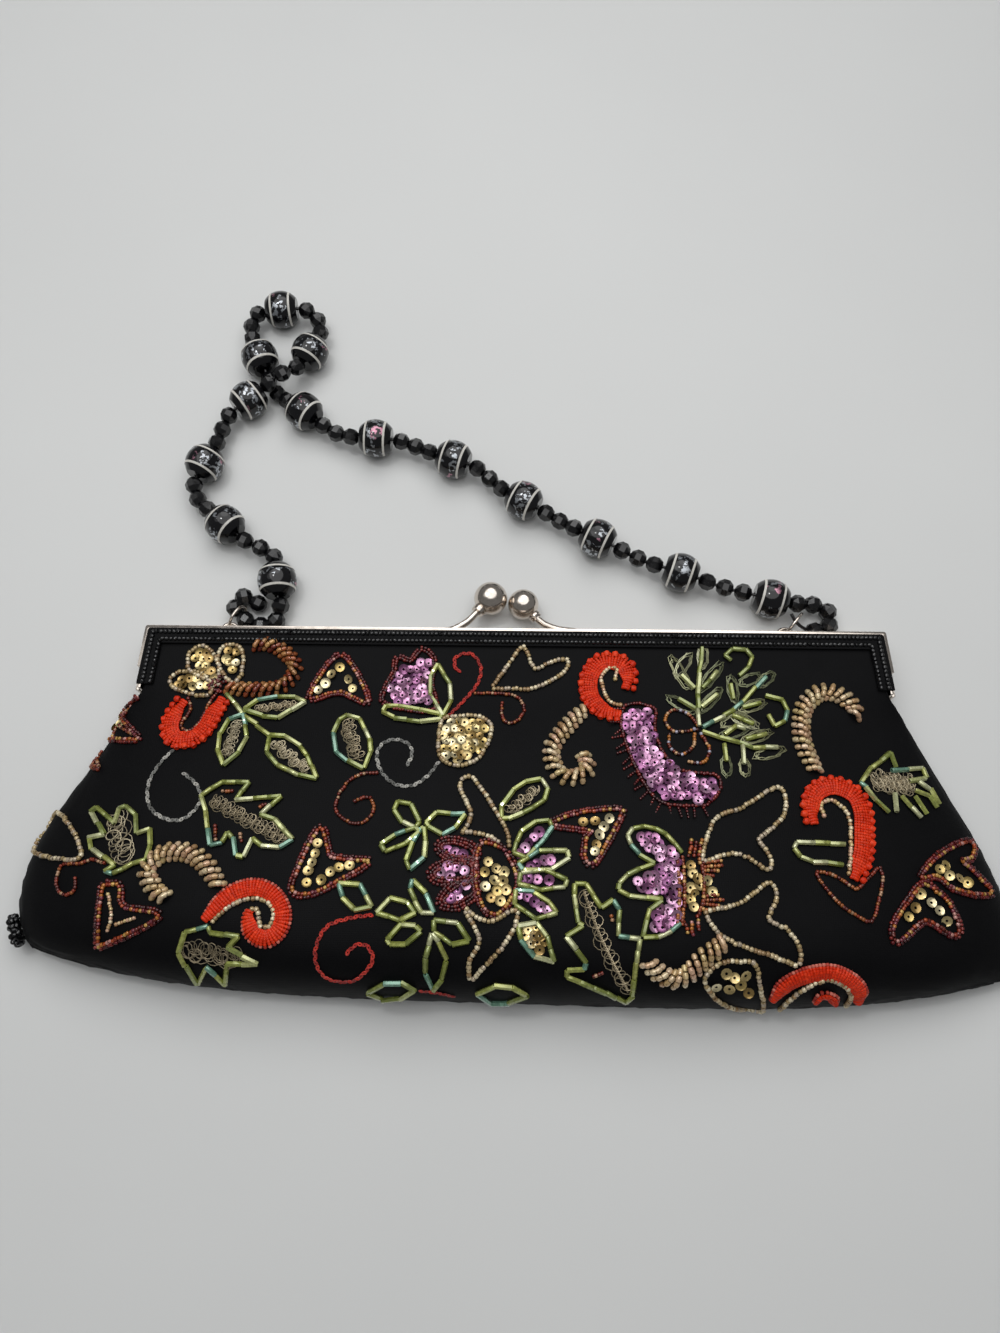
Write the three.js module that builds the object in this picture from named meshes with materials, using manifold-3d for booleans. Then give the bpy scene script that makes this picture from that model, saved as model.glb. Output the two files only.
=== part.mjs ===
// Beaded kiss lock purse, lying on its back: a hollow cloth bag hung from a hinged metal frame, a clasp of
// two balls that snap past each other, and a handle strung with large and small glass beads.
// Millimetres, +Z up, +X to the right, +Y towards the handle. The origin is on the surface that the purse
// lies on, under the middle of the bag. "Drop" is a distance below the frame's top edge, "rise" one above it.
import * as THREE from 'three';
import { mergeVertices } from 'three/addons/utils/BufferGeometryUtils.js';
import Module from 'manifold-3d';

const wasm = await Module();
wasm.setup();

// Frame: two U-shaped halves, one above the other as the purse lies, with a gap between them.
const FRAME_TOP = 50;
const FRAME_WIDTH = 216;
const ARM_DROP = 19;
const ARM_FLARE = 1.6;
const RIM_WIDTH = 2.2;
const RIM_DEPTH = 5.2;
const RIM_CORNER = 0.8;
const HALF_GAP = 0.6;
const FLANGE_REACH = 7;
const FLANGE_THICKNESS = 1;
const FLANGE_SETBACK = 1.9;
const FRAME_DEPTH = 2 * RIM_DEPTH + HALF_GAP;
const FRAME_MIDDLE = FRAME_DEPTH / 2;
const GAP = 0.3;

// Sides of the facets that stand for round shapes
const STRING_SIDES = 8;
const ROUND_SIDES = 12;
const CORNER_STEPS = 3;

// Hinge: the last stretch of each arm is halved, one half of the frame outside and the other inside.
const EAR_START_DROP = 12.5;
const EAR_OVERLAP = 3;
const EAR_GAP = 0.4;
const HINGE_DROP = 15.8;
const RIVET_RADIUS = 1;
const RIVET_HEAD_RADIUS = 1.7;
const RIVET_HEAD_THICKNESS = 0.5;
const RIVET_PLAY = 0.45;

// Cloth
const CLOTH = 1.6;
const SEAM_HEIGHT = 6;
const SEAM_GAP = 0.3;
const FRONT_EDGE = FRAME_DEPTH - GAP;
const BACK_FLAT_SHARE = 0.93;
const BACK_ROLL_TIGHTNESS = 1.25;
const BOTTOM_TILT = 2.75;
const HANG_POWER = 4;
const PANEL_COLUMNS = 28;

// Sections of the bag, from its mouth to its bottom edge. Left and right are its reaches from the middle,
// crown is the height of the front, hang is how much lower the middle of the section lies than its sides,
// sewn goes from 0 in the frame to 1 where front and back are sewn together, and roll is the share of the
// crown that is left as the cloth rolls over into the bottom seam.
const BAG_SECTIONS = [
  { drop: 2.5, left: 105.2, right: 105.2, crown: 10.7, hang: 0, sewn: 0, roll: 1 },
  { drop: 10, left: 105.7, right: 105.7, crown: 10.9, hang: 0, sewn: 0, roll: 1 },
  { drop: 19.5, left: 106.5, right: 106.5, crown: 11.6, hang: 0, sewn: 0, roll: 1 },
  { drop: 25, left: 111.8, right: 111.6, crown: 13.2, hang: 0.3, sewn: 0.75, roll: 1 },
  { drop: 34, left: 115.6, right: 115.6, crown: 15.9, hang: 0.8, sewn: 1, roll: 1 },
  { drop: 43, left: 120.5, right: 119.8, crown: 18.4, hang: 1.6, sewn: 1, roll: 1 },
  { drop: 52, left: 126, right: 124.6, crown: 20.5, hang: 2.6, sewn: 1, roll: 1 },
  { drop: 62, left: 131.2, right: 129.4, crown: 22.2, hang: 4.2, sewn: 1, roll: 1 },
  { drop: 71, left: 134, right: 132.6, crown: 23, hang: 5.8, sewn: 1, roll: 1 },
  { drop: 79, left: 134.9, right: 135, crown: 23.2, hang: 7.4, sewn: 1, roll: 1 },
  { drop: 85, left: 134, right: 136, crown: 23, hang: 8.6, sewn: 1, roll: 0.94 },
  { drop: 89, left: 132.6, right: 135.6, crown: 22.6, hang: 9.4, sewn: 1, roll: 0.78 },
  { drop: 91.6, left: 131.2, right: 134.4, crown: 22.4, hang: 9.9, sewn: 1, roll: 0.54 },
  { drop: 93, left: 130, right: 133.2, crown: 22.2, hang: 10.2, sewn: 1, roll: 0.28 },
  { drop: 93.6, left: 129.2, right: 132.4, crown: 22, hang: 10.4, sewn: 1, roll: 0 },
];
const BOTTOM_HANG = BAG_SECTIONS.at(-1).hang;

// Rows of small black beads sewn along the frame
const TRIM_INSET = 1.1;
const TRIM_REACH = 5.6;
const TRIM_DROP = 18;
const TRIM_LOW = 11.3;
const TRIM_HEIGHT = 1.8;

// Gathered knots at the bottom corners, as bumps that follow the seam
const KNOT_BUMP_RADIUS = 1.7;
const KNOT_BUMPS = 2;
const KNOT_STANDOFF = 1.8;
const KNOT_FIRST_SECTION = -5;
const KNOT_END_SECTION = -2;
const KNOT_PROFILE = [
  { share: 0, radius: 0.9 },
  { share: 0.3, radius: KNOT_BUMP_RADIUS },
  { share: 0.7, radius: KNOT_BUMP_RADIUS },
];

// Clasp balls, each on a stem that grows out of the top of its own half of the frame
const STEM_RADIUS = 1.1;
const STEM_STEPS = 8;
const COLLAR_RADIUS = 1.9;
const COLLAR_LENGTH = 1.8;
const COLLAR_SINK = 0.5;
const BALL_SIDES = 16;
const BALL_ROWS = 10;
const LEFT_BALL = {
  x: -7.5,
  rise: 11.2,
  z: 6.1,
  radius: 5,
  stem: [
    { x: -26, rise: -0.4, z: 8.4 },
    { x: -19, rise: 0.2, z: 8.4 },
    { x: -14.2, rise: 3.2, z: 7.8 },
  ],
};
const RIGHT_BALL = {
  x: 2.3,
  rise: 9.7,
  z: 5.3,
  radius: 4.6,
  stem: [
    { x: 24, rise: -0.4, z: 2.6 },
    { x: 18.5, rise: 2, z: 2.6 },
    { x: 12.5, rise: 2.8, z: 2.9 },
    { x: 7.6, rise: 4.6, z: 3.8 },
  ],
};

// Handle eyes on the back half of the frame, and the rings that link them to the strap
const EYE_WIRE = 0.6;
const EYE_RADIUS = 2.4;
const EYE_LEG = 0.6;
const EYE_HEIGHT = 4.4;
const EYE_STEPS = 10;
const RING_RADIUS = 4;
const RING_WIRE = 0.45;
const RING_HEIGHT = 4.7;
const RING_SEAT_RISE = 1.3;
const RING_WIRE_SIDES = 6;
const RING_STEPS = 20;
const LEFT_EYE = { x: -85.2, ringTurn: 60 };
const RIGHT_EYE = { x: 80.5, ringTurn: 50 };

// Strap: large beads on one thread, with runs of small faceted beads between them and a loop at each end
const THREAD_RADIUS = 0.6;
const LARGE_BEAD = { length: 10, radius: 6, roundness: 6.2, hole: 1.1 };
const LARGE_BEAD_ROWS = [-0.5, -0.4, -0.25, -0.09, 0.09, 0.25, 0.4, 0.5];
const SMALL_BEAD_RADIUS = 2.35;
const SMALL_BEADS_IN_RUN = 3;
const SMALL_BEAD_PROFILE = [
  { share: 0, radius: THREAD_RADIUS },
  { share: 0.14, radius: 1.5 },
  { share: 0.36, radius: SMALL_BEAD_RADIUS },
  { share: 0.64, radius: SMALL_BEAD_RADIUS },
  { share: 0.86, radius: 1.5 },
];
const RUN_LEAD = 0.6;
const RUN_SLACK = 5.5;
const RUN_SAG = -1.2;
const BARE_STEPS = 3;

// Places of the large beads along the thread, from the left end to the right. Heading is the thread's way
// in plan in degrees from +X, and lift is how far the run after the bead bows up or down.
const STRAP_BEADS = [
  { x: -72, rise: 16.4, heading: 97, lift: RUN_SAG },
  { x: -89.5, rise: 35, heading: 139, lift: RUN_SAG },
  { x: -97.8, rise: 56, heading: 67, lift: RUN_SAG },
  { x: -86, rise: 79, heading: 40, lift: 4.6 },
  { x: -67.6, rise: 97.3, heading: 66, lift: RUN_SAG },
  { x: -78, rise: 113.6, heading: 185, lift: RUN_SAG },
  { x: -83.7, rise: 94.8, heading: -66, lift: -4.2 },
  { x: -68, rise: 75.1, heading: -38, lift: RUN_SAG },
  { x: -44.5, rise: 65.5, heading: -4, lift: RUN_SAG },
  { x: -19.8, rise: 58.3, heading: -19, lift: RUN_SAG },
  { x: 2.3, rise: 44.1, heading: -30, lift: RUN_SAG },
  { x: 25, rise: 31.4, heading: -27, lift: RUN_SAG },
  { x: 50, rise: 20.3, heading: -19, lift: RUN_SAG },
  { x: 76.6, rise: 12, heading: -15, lift: RUN_SAG },
];

// Ways of the two end loops, from the hole of the end bead, out round the ring and back beside the hole
const LEFT_LOOP = {
  beads: 7,
  bareThread: 0.2,
  way: [
    { x: -70.4, rise: 7, z: 4.4 },
    { x: -72.8, rise: 3.5, z: 3.2 },
    { x: -77.8, rise: 3.2, z: 3 },
    { x: -82.2, rise: 5.3, z: 4 },
    { x: -84.6, rise: 9, z: 4.2 },
    { x: -81.8, rise: 12.2, z: 3.6 },
    { x: -78, rise: 10.2, z: 2.6 },
    { x: -75.8, rise: 8.6, z: 2.6 },
  ],
};
const RIGHT_LOOP = {
  beads: 5,
  bareThread: 6.8,
  way: [
    { x: 86.5, rise: 10.8, z: 5.2 },
    { x: 91.6, rise: 10.6, z: 3.8 },
    { x: 95.6, rise: 7.2, z: 3 },
    { x: 92.8, rise: 3.4, z: 2.9 },
    { x: 87.6, rise: 3.2, z: 3.2 },
    { x: 84, rise: 5.2, z: 4.6 },
    { x: 82.6, rise: 7.6, z: 5.2 },
  ],
};

const radians = THREE.MathUtils.degToRad;
const atRise = (x, rise, z) => new THREE.Vector3(x, FRAME_TOP + rise, z);
const atDrop = (x, drop, z) => new THREE.Vector3(x, FRAME_TOP - drop, z);

function finish(color, roughness, metalness) {
  return new THREE.MeshStandardMaterial({ color, roughness, metalness });
}
const BLACK_CLOTH = finish(0x121315, 0.85, 0);
const SILVER_METAL = finish(0xc8c5bf, 0.25, 1);
const LAMPWORK_GLASS = finish(0x1a1b1f, 0.12, 0);
const JET_GLASS = finish(0x0c0d0f, 0.2, 0);

// Joining and cutting

function solidOf(geometry) {
  const bare = geometry.clone();
  bare.deleteAttribute('normal');
  bare.deleteAttribute('uv');
  const merged = mergeVertices(bare, 1e-4);
  return new wasm.Manifold(
    new wasm.Mesh({
      numProp: 3,
      vertProperties: merged.attributes.position.array,
      triVerts: new Uint32Array(merged.index.array),
    }),
  );
}

function geometryOf(solid) {
  const { vertProperties, triVerts } = solid.getMesh();
  return indexedGeometry(vertProperties, triVerts);
}

function indexedGeometry(positions, triangles) {
  const geometry = new THREE.BufferGeometry();
  geometry.setAttribute('position', new THREE.Float32BufferAttribute(positions, 3));
  geometry.setIndex(new THREE.BufferAttribute(new Uint32Array(triangles), 1));
  geometry.computeVertexNormals();
  return geometry;
}

function joined(geometries) {
  return geometries.map(solidOf).reduce((whole, piece) => whole.add(piece));
}

function node(name, geometry, material) {
  const mesh = new THREE.Mesh(geometry, material);
  mesh.name = name;
  return mesh;
}

// A skin of rows of points with a second skin behind it, joined round the edge into one wall.
// The first skin's rows run so that its faces look out when seen with the rows going down.
function wallBetween(outer, inner) {
  const rows = outer.length;
  const columns = outer[0].length;
  const positions = [...outer.flat(), ...inner.flat()].flatMap((point) => point.toArray());
  const behind = rows * columns;
  const triangles = [];
  const quad = (a, b, c, d) => triangles.push(a, b, c, a, c, d);
  for (let row = 0; row + 1 < rows; row++) {
    for (let column = 0; column + 1 < columns; column++) {
      const corner = row * columns + column;
      const [a, b, c, d] = [corner, corner + columns, corner + columns + 1, corner + 1];
      quad(a, b, c, d);
      quad(behind + a, behind + d, behind + c, behind + b);
    }
  }
  const across = Array.from({ length: columns }, (_, column) => column);
  const down = Array.from({ length: rows }, (_, row) => row * columns);
  const edge = [
    ...down.slice(0, -1),
    ...across.slice(0, -1).map((column) => (rows - 1) * columns + column),
    ...down.slice(1).reverse().map((start) => start + columns - 1),
    ...across.slice(1).reverse(),
  ];
  edge.forEach((here, place) => {
    const next = edge[(place + 1) % edge.length];
    quad(here, behind + here, behind + next, next);
  });
  return indexedGeometry(positions, triangles);
}

// A round bar along stations of { centre, along, radius }, closed at both ends.
function barAlong(stations, sides) {
  const positions = [];
  const triangles = [];
  const up = new THREE.Vector3(0, 0, 1);
  for (const { centre, along, radius } of stations) {
    const side = new THREE.Vector3().crossVectors(along, up).normalize();
    const lift = new THREE.Vector3().crossVectors(side, along).normalize();
    for (let corner = 0; corner < sides; corner++) {
      const turn = (2 * Math.PI * corner) / sides;
      const point = centre.clone();
      point.addScaledVector(side, radius * Math.cos(turn));
      point.addScaledVector(lift, radius * Math.sin(turn));
      positions.push(...point.toArray());
    }
  }
  for (let station = 0; station + 1 < stations.length; station++) {
    for (let corner = 0; corner < sides; corner++) {
      const a = station * sides + corner;
      const b = station * sides + ((corner + 1) % sides);
      triangles.push(a, b + sides, b, a, a + sides, b + sides);
    }
  }
  const last = (stations.length - 1) * sides;
  for (let corner = 1; corner + 1 < sides; corner++) {
    triangles.push(0, corner, corner + 1, last, last + corner + 1, last + corner);
  }
  return indexedGeometry(positions, triangles);
}

// Bag

const columnShare = (column) => Math.sin((Math.PI / 2) * ((2 * column) / PANEL_COLUMNS - 1));

function sectionPoint(section, across, inset, height) {
  const reach = across < 0 ? section.left : section.right;
  const sideways = across * (reach - inset);
  const middleSink = section.hang * (1 - Math.abs(across) ** HANG_POWER);
  const rightSink = (BOTTOM_TILT * across * section.hang) / BOTTOM_HANG;
  return atDrop(sideways, section.drop + middleSink + rightSink - inset * (1 - section.roll), height);
}

function frontPoint(section, across, inset) {
  const seam = SEAM_HEIGHT + SEAM_GAP / 2;
  const edge = THREE.MathUtils.lerp(FRONT_EDGE - inset, seam, section.sewn);
  const dome = Math.sqrt(1 - Math.abs(across) ** 3) * section.roll;
  return sectionPoint(section, across, inset, edge + (section.crown - inset - edge) * dome);
}

function backPoint(section, across, inset) {
  const edge = THREE.MathUtils.lerp(inset, SEAM_HEIGHT - SEAM_GAP / 2, section.sewn);
  const pastFlat = Math.max(0, (Math.abs(across) - BACK_FLAT_SHARE) / (1 - BACK_FLAT_SHARE));
  const flat = Math.sqrt(1 - pastFlat ** 2) * Math.min(1, BACK_ROLL_TIGHTNESS * section.roll);
  return sectionPoint(section, across, inset, edge + (inset - edge) * flat);
}

function panelSkin(pointOf, inset) {
  return BAG_SECTIONS.map((section) =>
    Array.from({ length: PANEL_COLUMNS + 1 }, (_, column) => pointOf(section, columnShare(column), inset)),
  );
}

function bagFront() {
  return node('bag_front', wallBetween(panelSkin(frontPoint, 0), panelSkin(frontPoint, CLOTH)), BLACK_CLOTH);
}

function bagBack() {
  const turned = (skin) => skin.map((row) => row.reverse());
  const outer = turned(panelSkin(backPoint, 0));
  const inner = turned(panelSkin(backPoint, CLOTH));
  return node('bag_back', wallBetween(outer, inner), BLACK_CLOTH);
}

function cornerKnot(name, hand) {
  const sections = BAG_SECTIONS.slice(KNOT_FIRST_SECTION, KNOT_END_SECTION);
  const corner = sections.map((section) => sectionPoint(section, hand, -KNOT_STANDOFF, SEAM_HEIGHT));
  const way = new THREE.CatmullRomCurve3(corner);
  const stations = beadStations(way, KNOT_BUMPS, way.getLength(), KNOT_PROFILE);
  return node(name, barAlong(stations, STRING_SIDES), BLACK_CLOTH);
}

// Frame

const frameReach = (drop) => FRAME_WIDTH / 2 + (ARM_FLARE * drop) / ARM_DROP;

function extruded(shape, low, high) {
  const settings = { depth: high - low, bevelEnabled: false, curveSegments: CORNER_STEPS };
  return new THREE.ExtrudeGeometry(shape, settings).translate(0, FRAME_TOP, low);
}

// A U in plan, between two insets from the frame's outer edge.
function frameBand(outerInset, innerInset, armDrop) {
  const outer = (drop) => frameReach(drop) - outerInset;
  const inner = (drop) => frameReach(drop) - innerInset;
  const corner = RIM_CORNER;
  const shape = new THREE.Shape();
  shape.moveTo(outer(armDrop), -armDrop);
  shape.lineTo(outer(corner), -outerInset - corner);
  shape.quadraticCurveTo(outer(0), -outerInset, outer(0) - corner, -outerInset);
  shape.lineTo(corner - outer(0), -outerInset);
  shape.quadraticCurveTo(-outer(0), -outerInset, -outer(corner), -outerInset - corner);
  shape.lineTo(-outer(armDrop), -armDrop);
  shape.lineTo(-inner(armDrop), -armDrop);
  shape.lineTo(-inner(innerInset), -innerInset);
  shape.lineTo(inner(innerInset), -innerInset);
  shape.lineTo(inner(armDrop), -armDrop);
  shape.closePath();
  return shape;
}

// The last stretch of one arm, between two insets from its outer side.
function armStrip(hand, start, [outerInset, innerInset]) {
  const points = [
    [frameReach(start) - outerInset, -start],
    [frameReach(start) - innerInset, -start],
    [frameReach(ARM_DROP) - innerInset, -ARM_DROP],
    [frameReach(ARM_DROP) - outerInset, -ARM_DROP],
  ];
  return new THREE.Shape(points.map(([x, y]) => new THREE.Vector2(hand * x, y)));
}

function rivetHole(hand) {
  const radius = RIVET_RADIUS + GAP;
  const drill = new THREE.CylinderGeometry(radius, radius, 4 * RIM_WIDTH, ROUND_SIDES);
  drill.rotateZ(Math.PI / 2);
  const centre = atDrop(hand * (frameReach(HINGE_DROP) - RIM_WIDTH / 2), HINGE_DROP, FRAME_MIDDLE);
  return solidOf(drill.translate(...centre.toArray()));
}

// Rim, flange and hinge ears of one half: low and high bound the rim, and the ears reach past the middle.
function frameHalf(low, high, flangeLow, earLow, earHigh, earInsets) {
  const arms = [-1, 1].flatMap((hand) => [
    extruded(armStrip(hand, EAR_START_DROP - EAR_GAP, earInsets), low, high),
    extruded(armStrip(hand, EAR_START_DROP + EAR_GAP, earInsets), earLow, earHigh),
  ]);
  const pieces = [
    extruded(frameBand(0, RIM_WIDTH, EAR_START_DROP), low, high),
    extruded(frameBand(RIM_WIDTH / 2, FLANGE_REACH, EAR_START_DROP), flangeLow, flangeLow + FLANGE_THICKNESS),
    ...arms,
  ];
  return [-1, 1].map(rivetHole).reduce((half, hole) => half.subtract(hole), joined(pieces));
}

const ballCentre = (ball) => atRise(ball.x, ball.rise, ball.z);
const stemPoints = (ball) => ball.stem.map((at) => atRise(at.x, at.rise, at.z));
const stemWay = (ball) => ballCentre(ball).sub(stemPoints(ball).at(-1)).normalize();

// A bent bar from the frame's top edge to the ball, straight where it runs into the ball.
function claspStem(ball) {
  const along = stemWay(ball);
  const entry = ballCentre(ball).addScaledVector(along, -ball.radius - COLLAR_LENGTH);
  const bend = new THREE.CatmullRomCurve3([...stemPoints(ball), entry]);
  const stations = Array.from({ length: STEM_STEPS }, (_, step) => {
    const share = step / STEM_STEPS;
    return { centre: bend.getPointAt(share), along: bend.getTangentAt(share), radius: STEM_RADIUS };
  });
  stations.push({ centre: entry, along, radius: STEM_RADIUS });
  stations.push({ centre: ballCentre(ball), along, radius: STEM_RADIUS });
  return barAlong(stations, ROUND_SIDES);
}

function handleEye(eye) {
  const up = new THREE.Vector3(0, 1, 0);
  const down = new THREE.Vector3(0, -1, 0);
  const arch = Array.from({ length: EYE_STEPS + 1 }, (_, step) => {
    const turn = Math.PI * (1 - step / EYE_STEPS);
    const sideways = EYE_RADIUS * Math.cos(turn);
    const centre = atRise(eye.x + sideways, EYE_LEG + EYE_RADIUS * Math.sin(turn), EYE_HEIGHT);
    return { centre, along: new THREE.Vector3(Math.sin(turn), -Math.cos(turn), 0), radius: EYE_WIRE };
  });
  const stations = [
    { centre: atRise(eye.x - EYE_RADIUS, -EYE_WIRE, EYE_HEIGHT), along: up, radius: EYE_WIRE },
    ...arch,
    { centre: atRise(eye.x + EYE_RADIUS, -EYE_WIRE, EYE_HEIGHT), along: down, radius: EYE_WIRE },
  ];
  return barAlong(stations, STRING_SIDES);
}

function frameFront() {
  const low = FRAME_MIDDLE + HALF_GAP / 2;
  const flangeLow = FRAME_DEPTH - FLANGE_SETBACK - FLANGE_THICKNESS - GAP;
  const earInsets = [(RIM_WIDTH + EAR_GAP) / 2, RIM_WIDTH];
  const half = frameHalf(low, FRAME_DEPTH, flangeLow, FRAME_MIDDLE - EAR_OVERLAP, FRAME_DEPTH, earInsets);
  const whole = half.add(solidOf(claspStem(LEFT_BALL)));
  return node('frame_front', geometryOf(whole), SILVER_METAL);
}

function frameBack() {
  const earInsets = [0, (RIM_WIDTH - EAR_GAP) / 2];
  const half = frameHalf(0, RIM_DEPTH, FLANGE_SETBACK, 0, FRAME_MIDDLE + EAR_OVERLAP, earInsets);
  const eyes = [LEFT_EYE, RIGHT_EYE].map(handleEye);
  const whole = half.add(joined([claspStem(RIGHT_BALL), ...eyes]));
  return node('frame_back', geometryOf(whole), SILVER_METAL);
}

function hingeRivet(name, hand) {
  const shank = RIM_WIDTH / 2 + RIVET_PLAY;
  const end = shank + RIVET_HEAD_THICKNESS;
  const profile = [
    [0, -end],
    [RIVET_HEAD_RADIUS, -end],
    [RIVET_HEAD_RADIUS, -shank],
    [RIVET_RADIUS, -shank],
    [RIVET_RADIUS, shank],
    [RIVET_HEAD_RADIUS, shank],
    [RIVET_HEAD_RADIUS, end],
    [0, end],
  ].map(([x, y]) => new THREE.Vector2(x, y));
  const rivet = node(name, new THREE.LatheGeometry(profile, ROUND_SIDES), SILVER_METAL);
  rivet.position.copy(atDrop(hand * (frameReach(HINGE_DROP) - RIM_WIDTH / 2), HINGE_DROP, FRAME_MIDDLE));
  rivet.rotation.z = Math.PI / 2;
  return rivet;
}

// A ball with a collar at its foot, bored for the stem. The stem comes in along local -Y.
function claspBall(name, ball) {
  const collarMiddle = COLLAR_SINK - ball.radius - COLLAR_LENGTH / 2;
  const collar = new THREE.CylinderGeometry(COLLAR_RADIUS, COLLAR_RADIUS, COLLAR_LENGTH, ROUND_SIDES);
  const whole = joined([
    new THREE.SphereGeometry(ball.radius, BALL_SIDES, BALL_ROWS),
    collar.translate(0, collarMiddle, 0),
  ]);
  const depth = 2 * ball.radius;
  const bore = new THREE.CylinderGeometry(STEM_RADIUS + GAP, STEM_RADIUS + GAP, depth, ROUND_SIDES);
  const bored = whole.subtract(solidOf(bore.translate(0, GAP - depth / 2, 0)));
  const mesh = node(name, geometryOf(bored), SILVER_METAL);
  mesh.position.copy(ballCentre(ball));
  mesh.quaternion.setFromUnitVectors(new THREE.Vector3(0, 1, 0), stemWay(ball));
  return mesh;
}

function beadTrim() {
  const band = frameBand(TRIM_INSET, TRIM_REACH, TRIM_DROP);
  return node('bead_trim', extruded(band, TRIM_LOW, TRIM_LOW + TRIM_HEIGHT), JET_GLASS);
}

// Strap

function eyeRing(name, eye) {
  const hoop = new THREE.TorusGeometry(RING_RADIUS, RING_WIRE, RING_WIRE_SIDES, RING_STEPS);
  const ring = node(name, hoop, SILVER_METAL);
  const turn = radians(eye.ringTurn);
  const sideways = RING_RADIUS * Math.cos(turn);
  ring.position.copy(atRise(eye.x + sideways, RING_SEAT_RISE + RING_RADIUS * Math.sin(turn), RING_HEIGHT));
  ring.rotation.set(Math.PI / 2, 0, turn, 'ZYX');
  return ring;
}

const headingOf = (bead) => {
  const turn = radians(bead.heading);
  return new THREE.Vector3(Math.cos(turn), Math.sin(turn), 0);
};
const beadCentre = (bead) => atRise(bead.x, bead.rise, LARGE_BEAD.radius);
const runReach = LARGE_BEAD.length / 2 + RUN_LEAD;
const runStart = (bead, end) => beadCentre(bead).addScaledVector(headingOf(bead), end * runReach);

function largeBeadGeometry() {
  const { length, radius, roundness, hole } = LARGE_BEAD;
  const heights = LARGE_BEAD_ROWS.map((share) => share * length);
  const outside = heights.map((y) => new THREE.Vector2(radius * Math.sqrt(1 - (y / roundness) ** 2), y));
  const bore = [new THREE.Vector2(hole, length / 2), new THREE.Vector2(hole, -length / 2)];
  return new THREE.LatheGeometry([...outside, ...bore, outside[0].clone()], ROUND_SIDES);
}

function largeBead(bead, number) {
  const mesh = node(`strap_bead_${number}`, largeBeadGeometry(), LAMPWORK_GLASS);
  mesh.position.copy(beadCentre(bead));
  mesh.rotation.z = radians(bead.heading - 90);
  return mesh;
}

// Stations of a bead string along a curve: bead profiles over its first stretch, then bare thread.
function beadStations(way, count, beaded, profile) {
  const whole = way.getLength();
  const stationAt = (distance, radius) => {
    const share = Math.min(1, distance / whole);
    return { centre: way.getPointAt(share), along: way.getTangentAt(share), radius };
  };
  const pitch = beaded / count;
  const stations = [];
  for (let bead = 0; bead < count; bead++) {
    for (const { share, radius } of profile) {
      stations.push(stationAt((bead + share) * pitch, radius));
    }
  }
  stations.push(stationAt(beaded, profile[0].radius));
  return stations;
}

// The thread's end inside a large bead's hole, just short of the bead's middle.
function threadEnd(bead, end) {
  const along = headingOf(bead);
  return { centre: beadCentre(bead).addScaledVector(along, end * GAP), along, radius: THREAD_RADIUS };
}

function strapRun(bead, next, number) {
  const start = runStart(bead, 1);
  const stop = runStart(next, -1);
  const pull = new THREE.Vector3(0, 0, bead.lift);
  const way = new THREE.CubicBezierCurve3(
    start,
    start.clone().addScaledVector(headingOf(bead), RUN_SLACK).add(pull),
    stop.clone().addScaledVector(headingOf(next), -RUN_SLACK).add(pull),
    stop,
  );
  const stations = [
    threadEnd(bead, 1),
    ...beadStations(way, SMALL_BEADS_IN_RUN, way.getLength(), SMALL_BEAD_PROFILE),
    threadEnd(next, -1),
  ];
  return node(`strap_run_${number}`, barAlong(stations, STRING_SIDES), JET_GLASS);
}

function strapLoop(name, bead, end, loop) {
  const turns = loop.way.map((at) => atRise(at.x, at.rise, at.z));
  const way = new THREE.CatmullRomCurve3([runStart(bead, end), ...turns]);
  const inHole = threadEnd(bead, end);
  inHole.along.multiplyScalar(end);
  const stations = [
    inHole,
    ...beadStations(way, loop.beads, way.getLength() - loop.bareThread, SMALL_BEAD_PROFILE),
  ];
  for (let step = BARE_STEPS - 1; step >= 0; step--) {
    const share = 1 - (step / BARE_STEPS) * (loop.bareThread / way.getLength());
    stations.push({ centre: way.getPointAt(share), along: way.getTangentAt(share), radius: THREAD_RADIUS });
  }
  return node(name, barAlong(stations, STRING_SIDES), JET_GLASS);
}

function strap() {
  const twoDigits = (place) => String(place + 1).padStart(2, '0');
  const group = new THREE.Group();
  group.add(...STRAP_BEADS.map((bead, place) => largeBead(bead, twoDigits(place))));
  group.add(
    ...STRAP_BEADS.slice(1).map((next, place) => strapRun(STRAP_BEADS[place], next, twoDigits(place))),
  );
  group.add(strapLoop('strap_loop_left', STRAP_BEADS[0], -1, LEFT_LOOP));
  group.add(strapLoop('strap_loop_right', STRAP_BEADS.at(-1), 1, RIGHT_LOOP));
  group.add(eyeRing('ring_left', LEFT_EYE), eyeRing('ring_right', RIGHT_EYE));
  return group;
}

const purse = new THREE.Group();
purse.add(bagFront(), bagBack(), cornerKnot('corner_knot_left', -1), cornerKnot('corner_knot_right', 1));
purse.add(frameFront(), frameBack(), beadTrim());
purse.add(hingeRivet('hinge_rivet_left', -1), hingeRivet('hinge_rivet_right', 1));
purse.add(claspBall('clasp_ball_left', LEFT_BALL), claspBall('clasp_ball_right', RIGHT_BALL));
purse.add(strap());

export default purse;
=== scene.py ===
import math

import bpy
import numpy as np
from bpy.props import FloatProperty, FloatVectorProperty, IntProperty, PointerProperty, StringProperty
from mathutils import Matrix, Vector


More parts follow.
